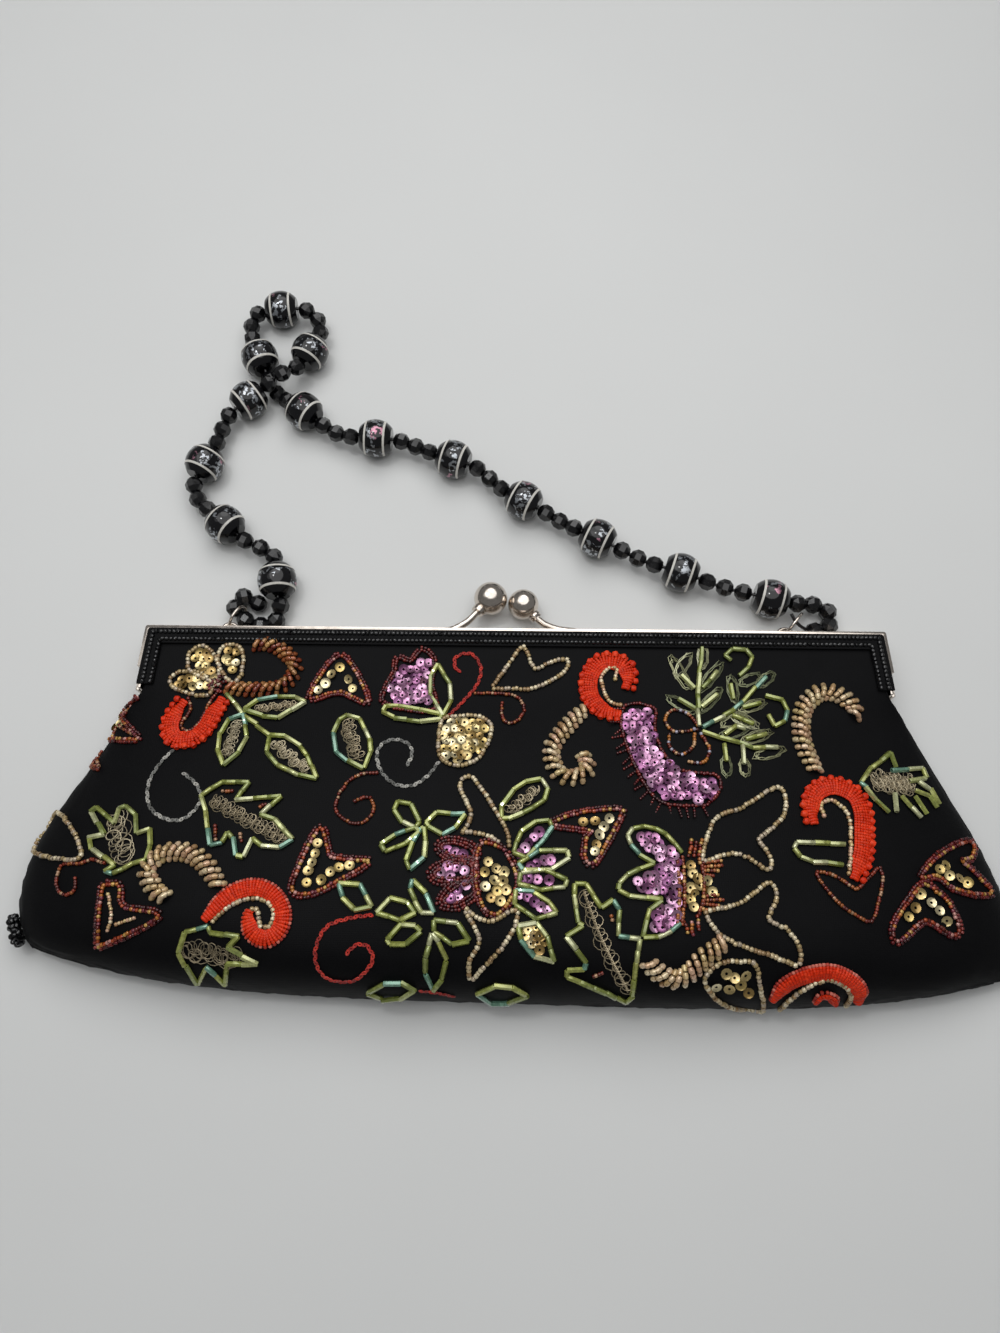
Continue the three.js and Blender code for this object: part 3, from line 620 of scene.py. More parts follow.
class Sewing:
    """Small things gathered into one joined mesh, each with its own tint."""

    def __init__(self):
        self.points = []
        self.corners = []
        self.counts = []
        self.tints = []
        self.total = 0

    def add(self, points, faces, tints):
        """Adds points, faces of equal corner count, and a tint for each point."""
        self.points.append(points)
        self.corners.append((faces + self.total).ravel())
        self.counts.append(np.full(len(faces), faces.shape[1]))
        self.tints.append(np.broadcast_to(tints, points.shape))
        self.total += len(points)

    def place(self, shape, centres, along, up, sizes, tints):
        """Adds a shape many times: its X runs along, its Z up, scaled by sizes."""
        corners, faces = shape
        up = unit(up - along * (up * along).sum(axis=-1, keepdims=True))
        axes = np.stack([along, np.cross(up, along), up], axis=1)
        points = centres[:, None] + (corners[None] * sizes[:, None]) @ axes
        starts = np.arange(len(centres))[:, None, None] * len(corners)
        self.add(points.reshape(-1, 3), (faces[None] + starts).reshape(-1, faces.shape[1]),
                 np.repeat(tints, len(corners), axis=0))

    def tube(self, places, radius, sides, tint):
        """Adds a round tube along a line of places, closed at both ends."""
        ahead = unit(np.gradient(places, axis=0))
        side = unit(np.cross(ahead, ahead + np.array(TUBE_LEAN)))
        lift = np.cross(side, ahead)
        turns = 2 * np.pi * np.arange(sides) / sides
        rounds = np.cos(turns)[None, :, None] * side[:, None] + np.sin(turns)[None, :, None] * lift[:, None]
        points = places[:, None] + radius * rounds
        rows = np.arange(len(places) - 1)[:, None] * sides
        corner = np.arange(sides)[None]
        beyond = (corner + 1) % sides
        below = rows + corner
        beside = rows + beyond
        faces = np.stack([below, below + sides, beside + sides, beside], axis=-1)
        ends = np.stack([np.arange(sides), (len(places) - 1) * sides + np.arange(sides)[::-1]])
        start = self.total
        self.add(points.reshape(-1, 3), faces.reshape(-1, 4), tint)
        self.corners.append((ends + start).ravel())
        self.counts.append(np.full(len(ends), sides))

    def piece(self, name):
        """Makes the joined mesh, smooth shaded, with the tints as a colour attribute."""
        points = np.concatenate(self.points)
        tints = np.concatenate(self.tints)
        corners = np.concatenate(self.corners)
        counts = np.concatenate(self.counts)
        mesh = bpy.data.meshes.new(name)
        mesh.vertices.add(len(points))
        mesh.loops.add(len(corners))
        mesh.polygons.add(len(counts))
        mesh.vertices.foreach_set("co", points.ravel())
        mesh.loops.foreach_set("vertex_index", corners.astype(np.int32))
        starts = np.concatenate([[0], np.cumsum(counts)[:-1]])
        mesh.polygons.foreach_set("loop_start", starts.astype(np.int32))
        mesh.update(calc_edges=True)
        mesh.validate()
        attribute = mesh.color_attributes.new("tint", "FLOAT_COLOR", "POINT")
        attribute.data.foreach_set("color", np.column_stack([tints, np.ones(len(tints))]).ravel())
        piece = bpy.data.objects.new(name, mesh)
        bpy.context.scene.collection.objects.link(piece)
        shade_round(piece, ROUND_BEND)
        return piece


def shape_of(piece):
    """A modelled template as arrays of corners and faces, so that copies of it can be joined."""
    corners = np.array([vertex.co for vertex in piece.data.vertices])
    faces = np.array([face.vertices for face in piece.data.polygons])
    bpy.data.objects.remove(piece)
    return corners, faces


def ring_template(segments, hole, stretch, turn):
    """A ring one unit across, scaled and turned: the start of a bead, sequin or chain loop."""
    around, through = segments
    thick = (0.5 - hole) / 2
    piece = new_piece("ring", bpy.ops.mesh.primitive_torus_add, major_segments=around,
                      minor_segments=through, major_radius=hole + thick, minor_radius=thick)
    in_edit_mode(piece)
    bpy.ops.transform.resize(value=stretch, center_override=(0, 0, 0))
    bpy.ops.transform.rotate(value=turn, orient_axis="Y", center_override=(0, 0, 0))
    leave_edit_mode()
    return piece


def seed_bead():
    """A round bead one unit across, with its hole along X."""
    return shape_of(ring_template(SMALL_RING, SEED_HOLE, (1, 1, SEED_LENGTH), math.pi / 2))


def chain_loop():
    """A loop of thread one unit wide, drawn out along X."""
    return shape_of(ring_template(SMALL_RING, LOOP_HOLE, LOOP_STRETCH, 0))


def sequin_cup():
    """A thin pierced disc one unit across, its rim raised into a shallow cup."""
    piece = ring_template(SEQUIN_RING, SEQUIN_HOLE, (1, 1, SEQUIN_THICKNESS), 0)
    in_edit_mode(piece)
    select_points(piece, lambda place: place.xy.length > SEQUIN_RIM)
    bpy.ops.transform.translate(value=(0, 0, SEQUIN_CUP))
    leave_edit_mode()
    return shape_of(piece)


def bugle_tube():
    """A six-sided tube one unit long and one across, bored through along X, its rims softened."""
    piece = new_piece("bugle", bpy.ops.mesh.primitive_cylinder_add, vertices=BUGLE_SIDES, radius=0.5,
                      depth=1, rotation=(0, math.pi / 2, 0))
    in_edit_mode(piece)
    select_faces(piece, lambda centre, normal: abs(normal.x) > END_FACING)
    bpy.ops.mesh.inset(thickness=BUGLE_ROUNDING, depth=BUGLE_SINK, use_individual=True)
    bpy.ops.mesh.inset(thickness=BUGLE_WALL, use_individual=True)
    bpy.ops.mesh.bridge_edge_loops()
    leave_edit_mode()
    return shape_of(piece)


def tints_of(hex_values, count, chance):
    """Linear tints picked at random from a list of sRGB hex values."""
    choices = np.array([linear(value) for value in hex_values.split()])
    return choices[chance.integers(len(choices), size=count)]


# Bag

# Height of the seam between the walls, as a share of the bag's height
SEAM_HEIGHT_SHARE = 0.26
SEAM_ANGLE = math.radians(40)
SEAM_CREASE = 0.85
QUAD_ANGLE = math.radians(80)
# A second, quicker wave makes the puckers uneven: its height and rate beside the first, and its start
OVERTONE_HEIGHT = 0.5
OVERTONE_RATE = 1.7
OVERTONE_START = 1
# Two waves of slack cloth cross: what each takes of x and of y
FIRST_SLACK = (1, 0.6)
SECOND_SLACK = (-0.35, 1.3)
KNOT_BEAD_SINK = 0.8
KNOT_BEAD_SPREAD = (0.85, 1.1)


def soften_cloth(piece, cloth):
    """Moves the cloth in and out: puckers beside the seam, and long low waves where it hangs slack."""
    mesh = piece.data
    places = np.empty(len(mesh.vertices) * 3)
    normals = np.empty_like(places)
    mesh.vertices.foreach_get("co", places)
    mesh.vertex_normals.foreach_get("vector", normals)
    places = places.reshape(-1, 3)
    normals = normals.reshape(-1, 3)
    x, y, z = places.T
    low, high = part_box("bag_front")
    seam_height = SEAM_HEIGHT_SHARE * high.z
    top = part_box("bead_trim")[0].y
    beside_seam = np.exp(-np.abs(z - seam_height) / cloth.pucker_fade)
    below_top = np.clip((top - y) / cloth.pucker_fade, 0, 1)
    round_seam = x * np.abs(normals[:, 1]) + y * np.abs(normals[:, 0])
    phase = 2 * np.pi * round_seam / cloth.pucker_spacing
    pucker = np.sin(phase) + OVERTONE_HEIGHT * np.sin(OVERTONE_RATE * phase + OVERTONE_START)
    edge_on = 1 - np.abs(normals[:, 2])
    waves = 2 * np.pi / cloth.slack_spacing
    slack = np.sin(waves * (places[:, :2] @ FIRST_SLACK)) * np.sin(waves * (places[:, :2] @ SECOND_SLACK))
    fall = np.clip((top - y) / (high.y - low.y), 0, 1)
    above = np.clip((z - seam_height) / seam_height, 0, 1)
    move = cloth.pucker_height * beside_seam * below_top * edge_on * pucker
    move += cloth.slack_height * slack * fall * above
    places += normals * move[:, None]
    mesh.vertices.foreach_set("co", places.ravel())
    mesh.update()


def bag_panel(node, name, cloth):
    """One wall of the bag: the CAD loft rounded off, then puckered and slackened."""
    piece = copy_of_node(node, name)
    in_edit_mode(piece)
    bpy.ops.mesh.tris_convert_to_quads(face_threshold=QUAD_ANGLE, shape_threshold=QUAD_ANGLE)
    bpy.ops.mesh.select_mode(type="EDGE")
    bpy.ops.mesh.select_all(action="DESELECT")
    bpy.ops.mesh.edges_select_sharp(sharpness=SEAM_ANGLE)
    bpy.ops.transform.edge_crease(value=SEAM_CREASE)
    leave_edit_mode()
    apply_modifier(piece, "SUBSURF", {"levels": 2, "render_levels": 2})
    soften_cloth(piece, cloth)
    only(piece)
    bpy.ops.object.shade_smooth()
    return piece


class PURSE_OT_bag(bpy.types.Operator):
    """Make the two satin walls of the bag"""

    bl_idname = "purse.bag"
    bl_label = "Satin bag"

    def execute(self, context):
        cloth = context.scene.purse.cloth
        satin = black_satin(cloth)
        finish_piece(bag_panel("bag_front", BAG_FRONT, cloth), "bag_cloth", ["bag_front"], satin)
        finish_piece(bag_panel("bag_back", "bag_back_satin", cloth), "bag_cloth", ["bag_back"], satin)
        return {"FINISHED"}


class PURSE_OT_corner_knots(bpy.types.Operator):
    """Make the beaded knots at the bottom corners"""

    bl_idname = "purse.corner_knots"
    bl_label = "Corner knots"

    def execute(self, context):
        settings = context.scene.purse
        jet = jet_glass(settings.strap)
        bead = seed_bead()
        tint = linear(JET_TINT)
        chance = np.random.default_rng(settings.beadwork.seed)
        for node in ("corner_knot_left", "corner_knot_right"):
            points, _ = node_mesh(node)
            end = points[points[:, 1].argmax()]
            centres, radii = rings_along(node, end)
            sewing = Sewing()
            sewing.tube(centres, radii.min(), STRING_SIDES, tint)
            for point in points:
                core = centres[np.linalg.norm(centres - point, axis=1).argmin()]
                out = unit(point - core)
                along = unit(np.cross(out, chance.normal(size=3)))
                size = np.full((1, 3), settings.cloth.knot_bead * chance.uniform(*KNOT_BEAD_SPREAD))
                place = core + (point - core) * KNOT_BEAD_SINK
                sewing.place(bead, place[None], along[None], out[None], size, tint[None])
            finish_piece(sewing.piece(node + "_beads"), "bag_cloth", [node], jet)
        return {"FINISHED"}


# Metalwork

FLAT_ANGLE = math.radians(1)
HARD_ANGLE = math.radians(38)
RIVET_SIDES = 24
RIVET_SHANK_SHARE = 0.59
# Rise over the step before, as a share of the dome's height, and reach as a share of the head's radius
RIVET_DOME = ((0, 1), (0.3, 1), (0.3, 0.88), (0.22, 0.66), (0.13, 0.4), (0.05, 0.16))
SPHERE_FIT_ROUNDS = 12
SPHERE_FIT_SHARE = 0.06
BALL_SIDES = 48
BALL_ROWS = 32
COLLAR_SHARE = 0.4
COLLAR_STEP = 0.1 * MM
# Rises along the rolled rim of a collar, as shares of its thickness, and how far each spreads
COLLAR_ROLL = ((0.25, 1.12), (0.5, 1), (0.25, 0.9))
RING_WIRE_SIDES = 14
RING_STEPS = 48
# Trim: how far its bead rows lie from its outer edge, and how they stand on the braid
TRIM_ROWS = (1.15 * MM, 3.3 * MM)
TRIM_CORNER = 3 * MM
TRIM_ARM_SHIFT = 0.5 * MM
TRIM_LIFT = 0.42 * MM
TRIM_LEAN = 0.25
TRIM_BEAD_SPREAD = (0.86, 1.04)
BRAID_SHARE = 0.17
BRAID_GROWTH = 0.1 * MM
BRAID_EDGE = 0.2 * MM


def rounded_copy(node, name, edge):
    """A CAD part's shape with its hard edges rounded."""
    piece = copy_of_node(node, name)
    in_edit_mode(piece)
    bpy.ops.mesh.dissolve_limited(angle_limit=FLAT_ANGLE)
    leave_edit_mode()
    apply_modifier(piece, "BEVEL", {
        "width": edge, "segments": 2, "limit_method": "ANGLE", "angle_limit": HARD_ANGLE,
        "use_clamp_overlap": True, "harden_normals": False,
    })
    shade_round(piece, FRAME_BEND)
    return piece


def hinge_rivet(node, name, metal):
    """A rivet through both halves of the hinge, with a low dome hammered on each end."""
    low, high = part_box(node)
    half = (high.x - low.x) / 2
    head = (high.y - low.y) / 2
    seat = half - metal.rivet_dome
    piece = new_piece(name, bpy.ops.mesh.primitive_cylinder_add, vertices=RIVET_SIDES,
                      radius=RIVET_SHANK_SHARE * head, depth=2 * seat)
    in_edit_mode(piece)
    for hand in (-1, 1):
        select_faces(piece, lambda centre, normal: hand * centre.z > NEAR_END * seat)
        reached = RIVET_SHANK_SHARE
        for rise, reach in RIVET_DOME:
            lift = (0, 0, hand * rise * metal.rivet_dome)
            bpy.ops.mesh.extrude_region_move(TRANSFORM_OT_translate={"value": lift})
            bpy.ops.transform.resize(value=(reach / reached, reach / reached, 1), center_override=(0, 0, 0))
            reached = reach
    leave_edit_mode()
    piece.data.transform(axes_matrix((low + high) / 2, (1, 0, 0)))
    shade_round(piece, ROUND_BEND)
    return piece


class PURSE_OT_frame(bpy.types.Operator):
    """Make the two halves of the nickel frame and their hinge rivets"""

    bl_idname = "purse.frame"
    bl_label = "Nickel frame"

    def execute(self, context):
        metal = context.scene.purse.metal
        nickel = nickel_plate(metal)
        for node in ("frame_front", "frame_back"):
            finish_piece(rounded_copy(node, node + "_nickel", metal.edge), "frame_metal", [node], nickel)
        for node in ("hinge_rivet_left", "hinge_rivet_right"):
            finish_piece(hinge_rivet(node, node + "_nickel", metal), "frame_metal", [node], nickel)
        return {"FINISHED"}


def ball_of(node):
    """Centre and radius of a clasp ball, and the direction in which its collar points."""
    points, _ = node_mesh(node)
    kept = np.ones(len(points), bool)
    for _ in range(SPHERE_FIT_ROUNDS):
        rows = np.column_stack([2 * points[kept], np.ones(kept.sum())])
        answer, *_ = np.linalg.lstsq(rows, (points[kept] ** 2).sum(axis=1), rcond=None)
        centre = answer[:3]
        radius = math.sqrt(answer[3] + centre @ centre)
        kept = np.abs(np.linalg.norm(points - centre, axis=1) - radius) < SPHERE_FIT_SHARE * radius
    return centre, radius, unit(points[~kept].mean(axis=0) - centre)


def clasp_ball(node, name, metal):
    """A polished ball with a collar drawn out of its foot and a rolled rim round the collar."""
    centre, radius, foot = ball_of(node)
    points, _ = node_mesh(node)
    reach = ((points - centre) @ foot).max()
    collar = COLLAR_SHARE * radius
    cut = math.sqrt(radius ** 2 - collar ** 2)
    piece = new_piece(name, bpy.ops.mesh.primitive_uv_sphere_add, segments=BALL_SIDES, ring_count=BALL_ROWS,
                      radius=radius)
    in_edit_mode(piece)
    cut_off(cut, 1)
    rolled = [(share * metal.collar_bead, growth) for share, growth in COLLAR_ROLL]
    end = reach - cut - metal.collar_bead - COLLAR_STEP
    for rise, growth in ((COLLAR_STEP, 1), *rolled, (end, 1)):
        bpy.ops.mesh.extrude_region_move(TRANSFORM_OT_translate={"value": (0, 0, rise)})
        bpy.ops.transform.resize(value=(growth, growth, 1), center_override=(0, 0, 0))
    leave_edit_mode()
    piece.data.transform(axes_matrix(centre, foot))
    shade_round(piece, ROUND_BEND)
    return piece


class PURSE_OT_clasp(bpy.types.Operator):
    """Make the two balls of the clasp"""

    bl_idname = "purse.clasp"
    bl_label = "Clasp balls"

    def execute(self, context):
        metal = context.scene.purse.metal
        nickel = nickel_plate(metal)
        for node in ("clasp_ball_left", "clasp_ball_right"):
            finish_piece(clasp_ball(node, node + "_nickel", metal), "frame_metal", [node], nickel)
        return {"FINISHED"}


def jump_ring(node, name, metal):
    """A ring of round wire, spun most of the way round so that its ends nearly meet."""
    points, _ = node_mesh(node)
    centre = points.mean(axis=0)
    flat = points - centre
    _, _, directions = np.linalg.svd(flat)
    reach = np.linalg.norm(flat - np.outer(flat @ directions[2], directions[2]), axis=1)
    radius = (reach.max() + reach.min()) / 2
    wire = (reach.max() - reach.min()) / 2
    piece = new_piece(name, bpy.ops.mesh.primitive_circle_add, vertices=RING_WIRE_SIDES, radius=wire,
                      fill_type="NGON", location=(radius, 0, 0), rotation=(math.pi / 2, 0, 0))
    in_edit_mode(piece)
    turn = 2 * math.pi - metal.ring_opening
    bpy.ops.mesh.spin(steps=RING_STEPS, angle=turn, center=(0, 0, 0), axis=(0, 0, 1))
    bpy.ops.mesh.select_all(action="SELECT")
    bpy.ops.mesh.normals_make_consistent(inside=False)
    leave_edit_mode()
    piece.data.transform(axes_matrix(centre, directions[2]))
    shade_round(piece, ROUND_BEND)
    return piece


class PURSE_OT_rings(bpy.types.Operator):
    """Make the two rings that join the strap to the frame"""

    bl_idname = "purse.rings"
    bl_label = "Strap rings"

    def execute(self, context):
        metal = context.scene.purse.metal
        nickel = nickel_plate(metal)
        for node in ("ring_left", "ring_right"):
            finish_piece(jump_ring(node, node + "_nickel", metal), "frame_metal", [node], nickel)
        return {"FINISHED"}


def trim_braid():
    """The flat braid that the trim's beads are sewn on, laid over the inner edge of the frame."""
    low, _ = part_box("bead_trim")
    piece = rounded_copy("bead_trim", "bead_trim_braid", BRAID_EDGE)
    in_edit_mode(piece)
    bpy.ops.transform.resize(value=(1, 1, BRAID_SHARE), center_override=(0, 0, low.z))
    bpy.ops.transform.shrink_fatten(value=BRAID_GROWTH)
    leave_edit_mode()
    return piece


class PURSE_OT_trim(bpy.types.Operator):
    """Make the braid along the frame and the two rows of small beads sewn on it"""

    bl_idname = "purse.trim"
    bl_label = "Bead trim"

    def execute(self, context):
        settings = context.scene.purse
        strap = settings.strap
        chance = np.random.default_rng(settings.beadwork.seed)
        low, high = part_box("bead_trim")
        points, _ = node_mesh("bead_trim")
        top_reach = np.abs(points[points[:, 1] > high.y - TRIM_CORNER][:, 0]).max()
        finish_piece(trim_braid(), "bag_cloth", [], black_satin(settings.cloth))
        sewing = Sewing()
        bead = seed_bead()
        for row in TRIM_ROWS:
            top = top_reach - row - TRIM_ARM_SHIFT
            foot = high.x - row - TRIM_ARM_SHIFT
            corners = np.array([[-foot, low.y], [-top, high.y - row], [top, high.y - row], [foot, low.y]])
            steps = np.linalg.norm(np.diff(corners, axis=0), axis=1)
            distances = np.concatenate([[0], np.cumsum(steps)])
            count = round(distances[-1] / strap.trim_pitch)
            stops = (np.arange(count) + 0.5) * distances[-1] / count
            x, y = (np.interp(stops, distances, corners[:, axis]) for axis in (0, 1))
            size = strap.trim_bead * chance.uniform(*TRIM_BEAD_SPREAD, (count, 1)) * np.ones(3)
            places = np.column_stack([x, y, np.full(count, low.z + TRIM_LIFT)])
            shake = chance.normal(scale=TRIM_LEAN, size=(count, 3))
            ahead = unit(unit(np.gradient(places, axis=0)) + shake)
            up = np.tile((0.0, 0.0, 1.0), (count, 1))
            sewing.place(bead, places, ahead, up, size, np.tile(linear(JET_TINT), (count, 1)))
        finish_piece(sewing.piece("bead_trim_rows"), "strap_small_glass", ["bead_trim"], jet_glass(strap))
        return {"FINISHED"}


# Strap

LARGE_SIDES = 32
LARGE_ROWS = 20
END_DEPTH = 0.1 * MM
WAIST_EDGE = 0.01 * MM
# A band's faces lie at least this many bore radii out
BAND_CLEARANCE = 1.5
CUT_SIDES = 8
CUT_ROWS = 5
CUT_WAIST_SHARE = 0.5
# Size of a cut bead beside the bump of the CAD run that it stands for
CUT_BEAD_SHARE = 1.19
CUT_LENGTH_SHARE = 1.03
BUMP_SHARE = 0.93
# The end loops and the large beads that they start from
LOOP_ENDS = {"strap_loop_left": "strap_bead_01", "strap_loop_right": "strap_bead_14"}


def large_bead(strap):
    """A round glass bead, bored through, with two raised bands and a mark on the waist between them."""
    points, _ = node_mesh("strap_bead_01")
    centre, along = bead_place("strap_bead_01")
    heights = (points - centre) @ along
    half = heights.max()
    out = np.linalg.norm((points - centre) - np.outer(heights, along), axis=1)
    radius = out.max()
    bore = out.min()
    end = out[heights > half - END_DEPTH].max()
    stretch = half / math.sqrt(1 - (end / radius) ** 2)
    piece = new_piece("large_bead", bpy.ops.mesh.primitive_uv_sphere_add, segments=LARGE_SIDES,
                      ring_count=LARGE_ROWS, radius=1)
    piece.scale = (radius, radius, stretch)
    bpy.ops.object.transform_apply(location=True, rotation=True, scale=True)
    in_edit_mode(piece)
    for hand in (-1, 1):
        cut_off(half, hand)
    near = strap.band_offset - strap.band_width / 2
    far = strap.band_offset + strap.band_width / 2
    for height in (-far, -near, near, far):
        bpy.ops.mesh.select_all(action="SELECT")
        bpy.ops.mesh.bisect(plane_co=(0, 0, height), plane_no=(0, 0, 1))
    select_faces(piece, lambda centre, normal: (
        abs(normal.z) > END_FACING and abs(centre.z) > NEAR_END * half))
    bpy.ops.mesh.inset(thickness=end - bore, use_individual=True)
    bpy.ops.mesh.bridge_edge_loops()
    select_faces(piece, lambda centre, normal: near < abs(centre.z) < far and centre.xy.length > bore)
    bpy.ops.mesh.extrude_region_shrink_fatten(TRANSFORM_OT_shrink_fatten={"value": strap.band_height})
    leave_edit_mode()
    for face in piece.data.polygons:
        out_of_bore = face.center.xy.length > bore * BAND_CLEARANCE
        face.material_index = int(near < abs(face.center.z) < far and out_of_bore)
    waist = piece.data.attributes.new("waist", "FLOAT", "POINT")
    on_waist = [float(abs(vertex.co.z) < near + WAIST_EDGE) for vertex in piece.data.vertices]
    waist.data.foreach_set("value", on_waist)
    shade_round(piece, GLASS_BEND)
    return piece


class PURSE_OT_large_beads(bpy.types.Operator):
    """Make the large banded beads of the strap"""

    bl_idname = "purse.large_beads"
    bl_label = "Large beads"

    def execute(self, context):
        strap = context.scene.purse.strap
        glass = foil_glass(strap)
        band = white_band_glass(strap)
        template = large_bead(strap)
        for node in sorted(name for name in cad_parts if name.startswith("strap_bead_")):
            piece = placed_copy(template, node + "_glass", axes_matrix(*bead_place(node)))
            finish_piece(piece, "strap_large_glass", [node], glass, band)
        bpy.data.objects.remove(template)
        return {"FINISHED"}


def cut_bead(radius, half_length):
    """A small bead with flat facets all round, its ends cut off square at the thread."""
    piece = new_piece("cut_bead", bpy.ops.mesh.primitive_uv_sphere_add, segments=CUT_SIDES,
                      ring_count=CUT_ROWS, radius=radius)
    in_edit_mode(piece)
    select_points(piece, lambda place: abs(place.z) < CUT_WAIST_SHARE * radius)
    bpy.ops.transform.rotate(value=math.pi / CUT_SIDES, orient_axis="Z", center_override=(0, 0, 0))
    for hand in (-1, 1):
        cut_off(half_length, hand)
    bpy.ops.mesh.select_all(action="SELECT")
    bpy.ops.mesh.quads_convert_to_tris()
    leave_edit_mode()
    return piece


def bump_places(centres, radii):
    """Centres of the bumps along a string of rings: each bump has two full rings."""
    full = radii > BUMP_SHARE * radii.max()
    first = np.flatnonzero(full[:-1] & full[1:])
    return (centres[first] + centres[first + 1]) / 2


def bead_string(node, start, template, strap, chance):
    """The cut beads and thread of one run, put where the run's own bumps are."""
    centres, radii = rings_along(node, start)
    sewing = Sewing()
    sewing.tube(centres, strap.thread, STRING_SIDES, linear(JET_TINT))
    string = sewing.piece(node + "_jet")
    beads = []
    bumps = bump_places(centres, radii)
    for place, along in zip(bumps, unit(np.gradient(bumps, axis=0))):
        spin = Matrix.Rotation(chance.uniform(0, 2 * math.pi), 4, "Z")
        beads.append(placed_copy(template, f"{node}_bead", axes_matrix(place, along) @ spin))
    only(string)
    for bead in beads:
        bead.select_set(True)
    bpy.ops.object.join()
    return string


class PURSE_OT_bead_runs(bpy.types.Operator):
    """Make the runs and end loops of small cut beads"""

    bl_idname = "purse.bead_runs"
    bl_label = "Small cut beads"

    def execute(self, context):
        settings = context.scene.purse
        jet = jet_glass(settings.strap)
        chance = np.random.default_rng(settings.beadwork.seed)
        centres, radii = rings_along("strap_run_01", bead_place("strap_bead_01")[0])
        bumps = bump_places(centres, radii)
        pitch = np.linalg.norm(np.diff(bumps, axis=0), axis=1).min()
        template = cut_bead(CUT_BEAD_SHARE * radii.max(), pitch * CUT_LENGTH_SHARE / 2)
        for node in sorted(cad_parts):
            if node.startswith("strap_run_"):
                first = node.replace("run", "bead")
            elif node in LOOP_ENDS:
                first = LOOP_ENDS[node]
            else:
                continue
            string = bead_string(node, bead_place(first)[0], template, settings.strap, chance)
            finish_piece(string, "strap_small_glass", [node], jet)
        bpy.data.objects.remove(template)
        return {"FINISHED"}


# Chart of the embroidery: every line is read off the photograph, in its pixels

GOLD_PETALS = (
    ((217, 684), (192, 672), (189, 656), (199, 647), (209, 649), (218, 662), (219, 681)),
    ((230, 682), (218, 663), (222, 649), (231, 645), (241, 649), (244, 664), (238, 681)),
    ((210, 695), (193, 695), (174, 688), (171, 680), (179, 673), (200, 673), (212, 684)),
)
SHIELD_BUD = (
    (443, 720), (459, 717), (477, 717), (490, 724), (491, 734), (483, 753), (472, 763), (454, 766),
    (441, 758), (439, 737),
)
PAISLEY_BASE = (
    (706, 986), (706, 975), (721, 962), (745, 961), (755, 964), (760, 988), (762, 1009), (740, 1008),
    (721, 1001),
)
TAN_LEAVES = (
    ((493, 688), (506, 669), (519, 650), (525, 649), (533, 667), (539, 669), (550, 663), (565, 660),
     (568, 667), (558, 677), (542, 686), (526, 690), (508, 689)),
    ((465, 910), (479, 939), (469, 962), (471, 978), (482, 968), (502, 947), (515, 926), (515, 910),
     (492, 921), (476, 917)),
    ((59, 813), (82, 858), (32, 850)),
    ((702, 858), (706, 840), (716, 819), (745, 806), (776, 788), (785, 801), (781, 819), (760, 838),
     (759, 843), (769, 856), (768, 870), (747, 858), (732, 854), (706, 861)),
    ((711, 910), (740, 903), (768, 883), (776, 897), (768, 919), (786, 929), (799, 949), (797, 964),
     (776, 957), (745, 947), (719, 934), (706, 916)),
)
TAN_LINES = (
    ((462, 835), (471, 815), (461, 791), (462, 780), (471, 778), (479, 786), (497, 814), (508, 835),
     (509, 848)),
    ((461, 832), (484, 835), (500, 843)),
    ((212, 923), (228, 908), (249, 899), (267, 902), (274, 913), (270, 926), (261, 925), (258, 911),
     (251, 910)),
    ((779, 1008), (792, 996), (812, 983), (828, 979), (844, 985), (850, 994), (846, 1004)),
)
GOLD_LINES = (
    ((615, 681), (616, 669), (608, 669), (602, 676), (602, 685), (608, 701), (622, 707)),
    ((824, 818), (820, 806), (830, 801), (842, 808), (849, 822), (850, 851), (848, 875)),
)
ARROWHEADS = (
    ((341, 656), (368, 702), (340, 692), (310, 698)),
    ((103, 890), (111, 885), (120, 887), (124, 907), (160, 916), (106, 943), (99, 939)),
    ((322, 829), (328, 850), (333, 858), (364, 861), (367, 864), (338, 881), (312, 893), (294, 892),
     (296, 876), (312, 840)),
    ((554, 822), (583, 813), (619, 810), (619, 819), (596, 861), (586, 860), (586, 840), (591, 831),
     (557, 826)),
    ((920, 878), (936, 858), (960, 844), (972, 844), (970, 858), (960, 860), (970, 870), (990, 892),
     (974, 894), (952, 888), (936, 876)),
    ((920, 886), (906, 904), (894, 924), (893, 938), (900, 940), (920, 922), (932, 923), (952, 935),
     (958, 928), (948, 904), (938, 894), (928, 886)),
    ((138, 697), (117, 708), (128, 727), (138, 740), (100, 732)),
)
ARROWHEAD_SEQUINS = (
    (340, 668), (332, 675), (326, 684), (319, 691), (349, 680), (353, 689), (318, 844), (316, 854),
    (313, 863), (309, 871), (307, 883), (322, 880), (331, 872), (339, 868), (350, 866), (583, 823),
    (595, 822), (609, 819), (604, 827), (599, 835), (596, 845), (595, 852), (944, 866), (948, 876),
    (958, 879), (966, 883), (938, 870), (919, 894), (914, 908), (907, 917), (930, 903), (938, 911),
    (946, 921), (117, 711), (114, 727), (121, 724),
)
ARROWHEAD_LINES = (
    ((109, 893), (112, 915), (108, 932)),
    ((116, 925), (126, 921), (136, 918)),
)
PAISLEY_SEQUINS = ((716, 986), (726, 973), (734, 977), (745, 975), (740, 983), (748, 991), (729, 988))
CENTRE_OVAL = (
    (481, 845), (494, 845), (507, 855), (516, 876), (513, 894), (499, 913), (486, 910), (477, 889),
    (476, 866),
)
CALYX = (
    (816, 873), (829, 874), (844, 882), (856, 889), (869, 877), (878, 868), (882, 879), (878, 901),
    (871, 921), (858, 917), (839, 904), (824, 887),
)
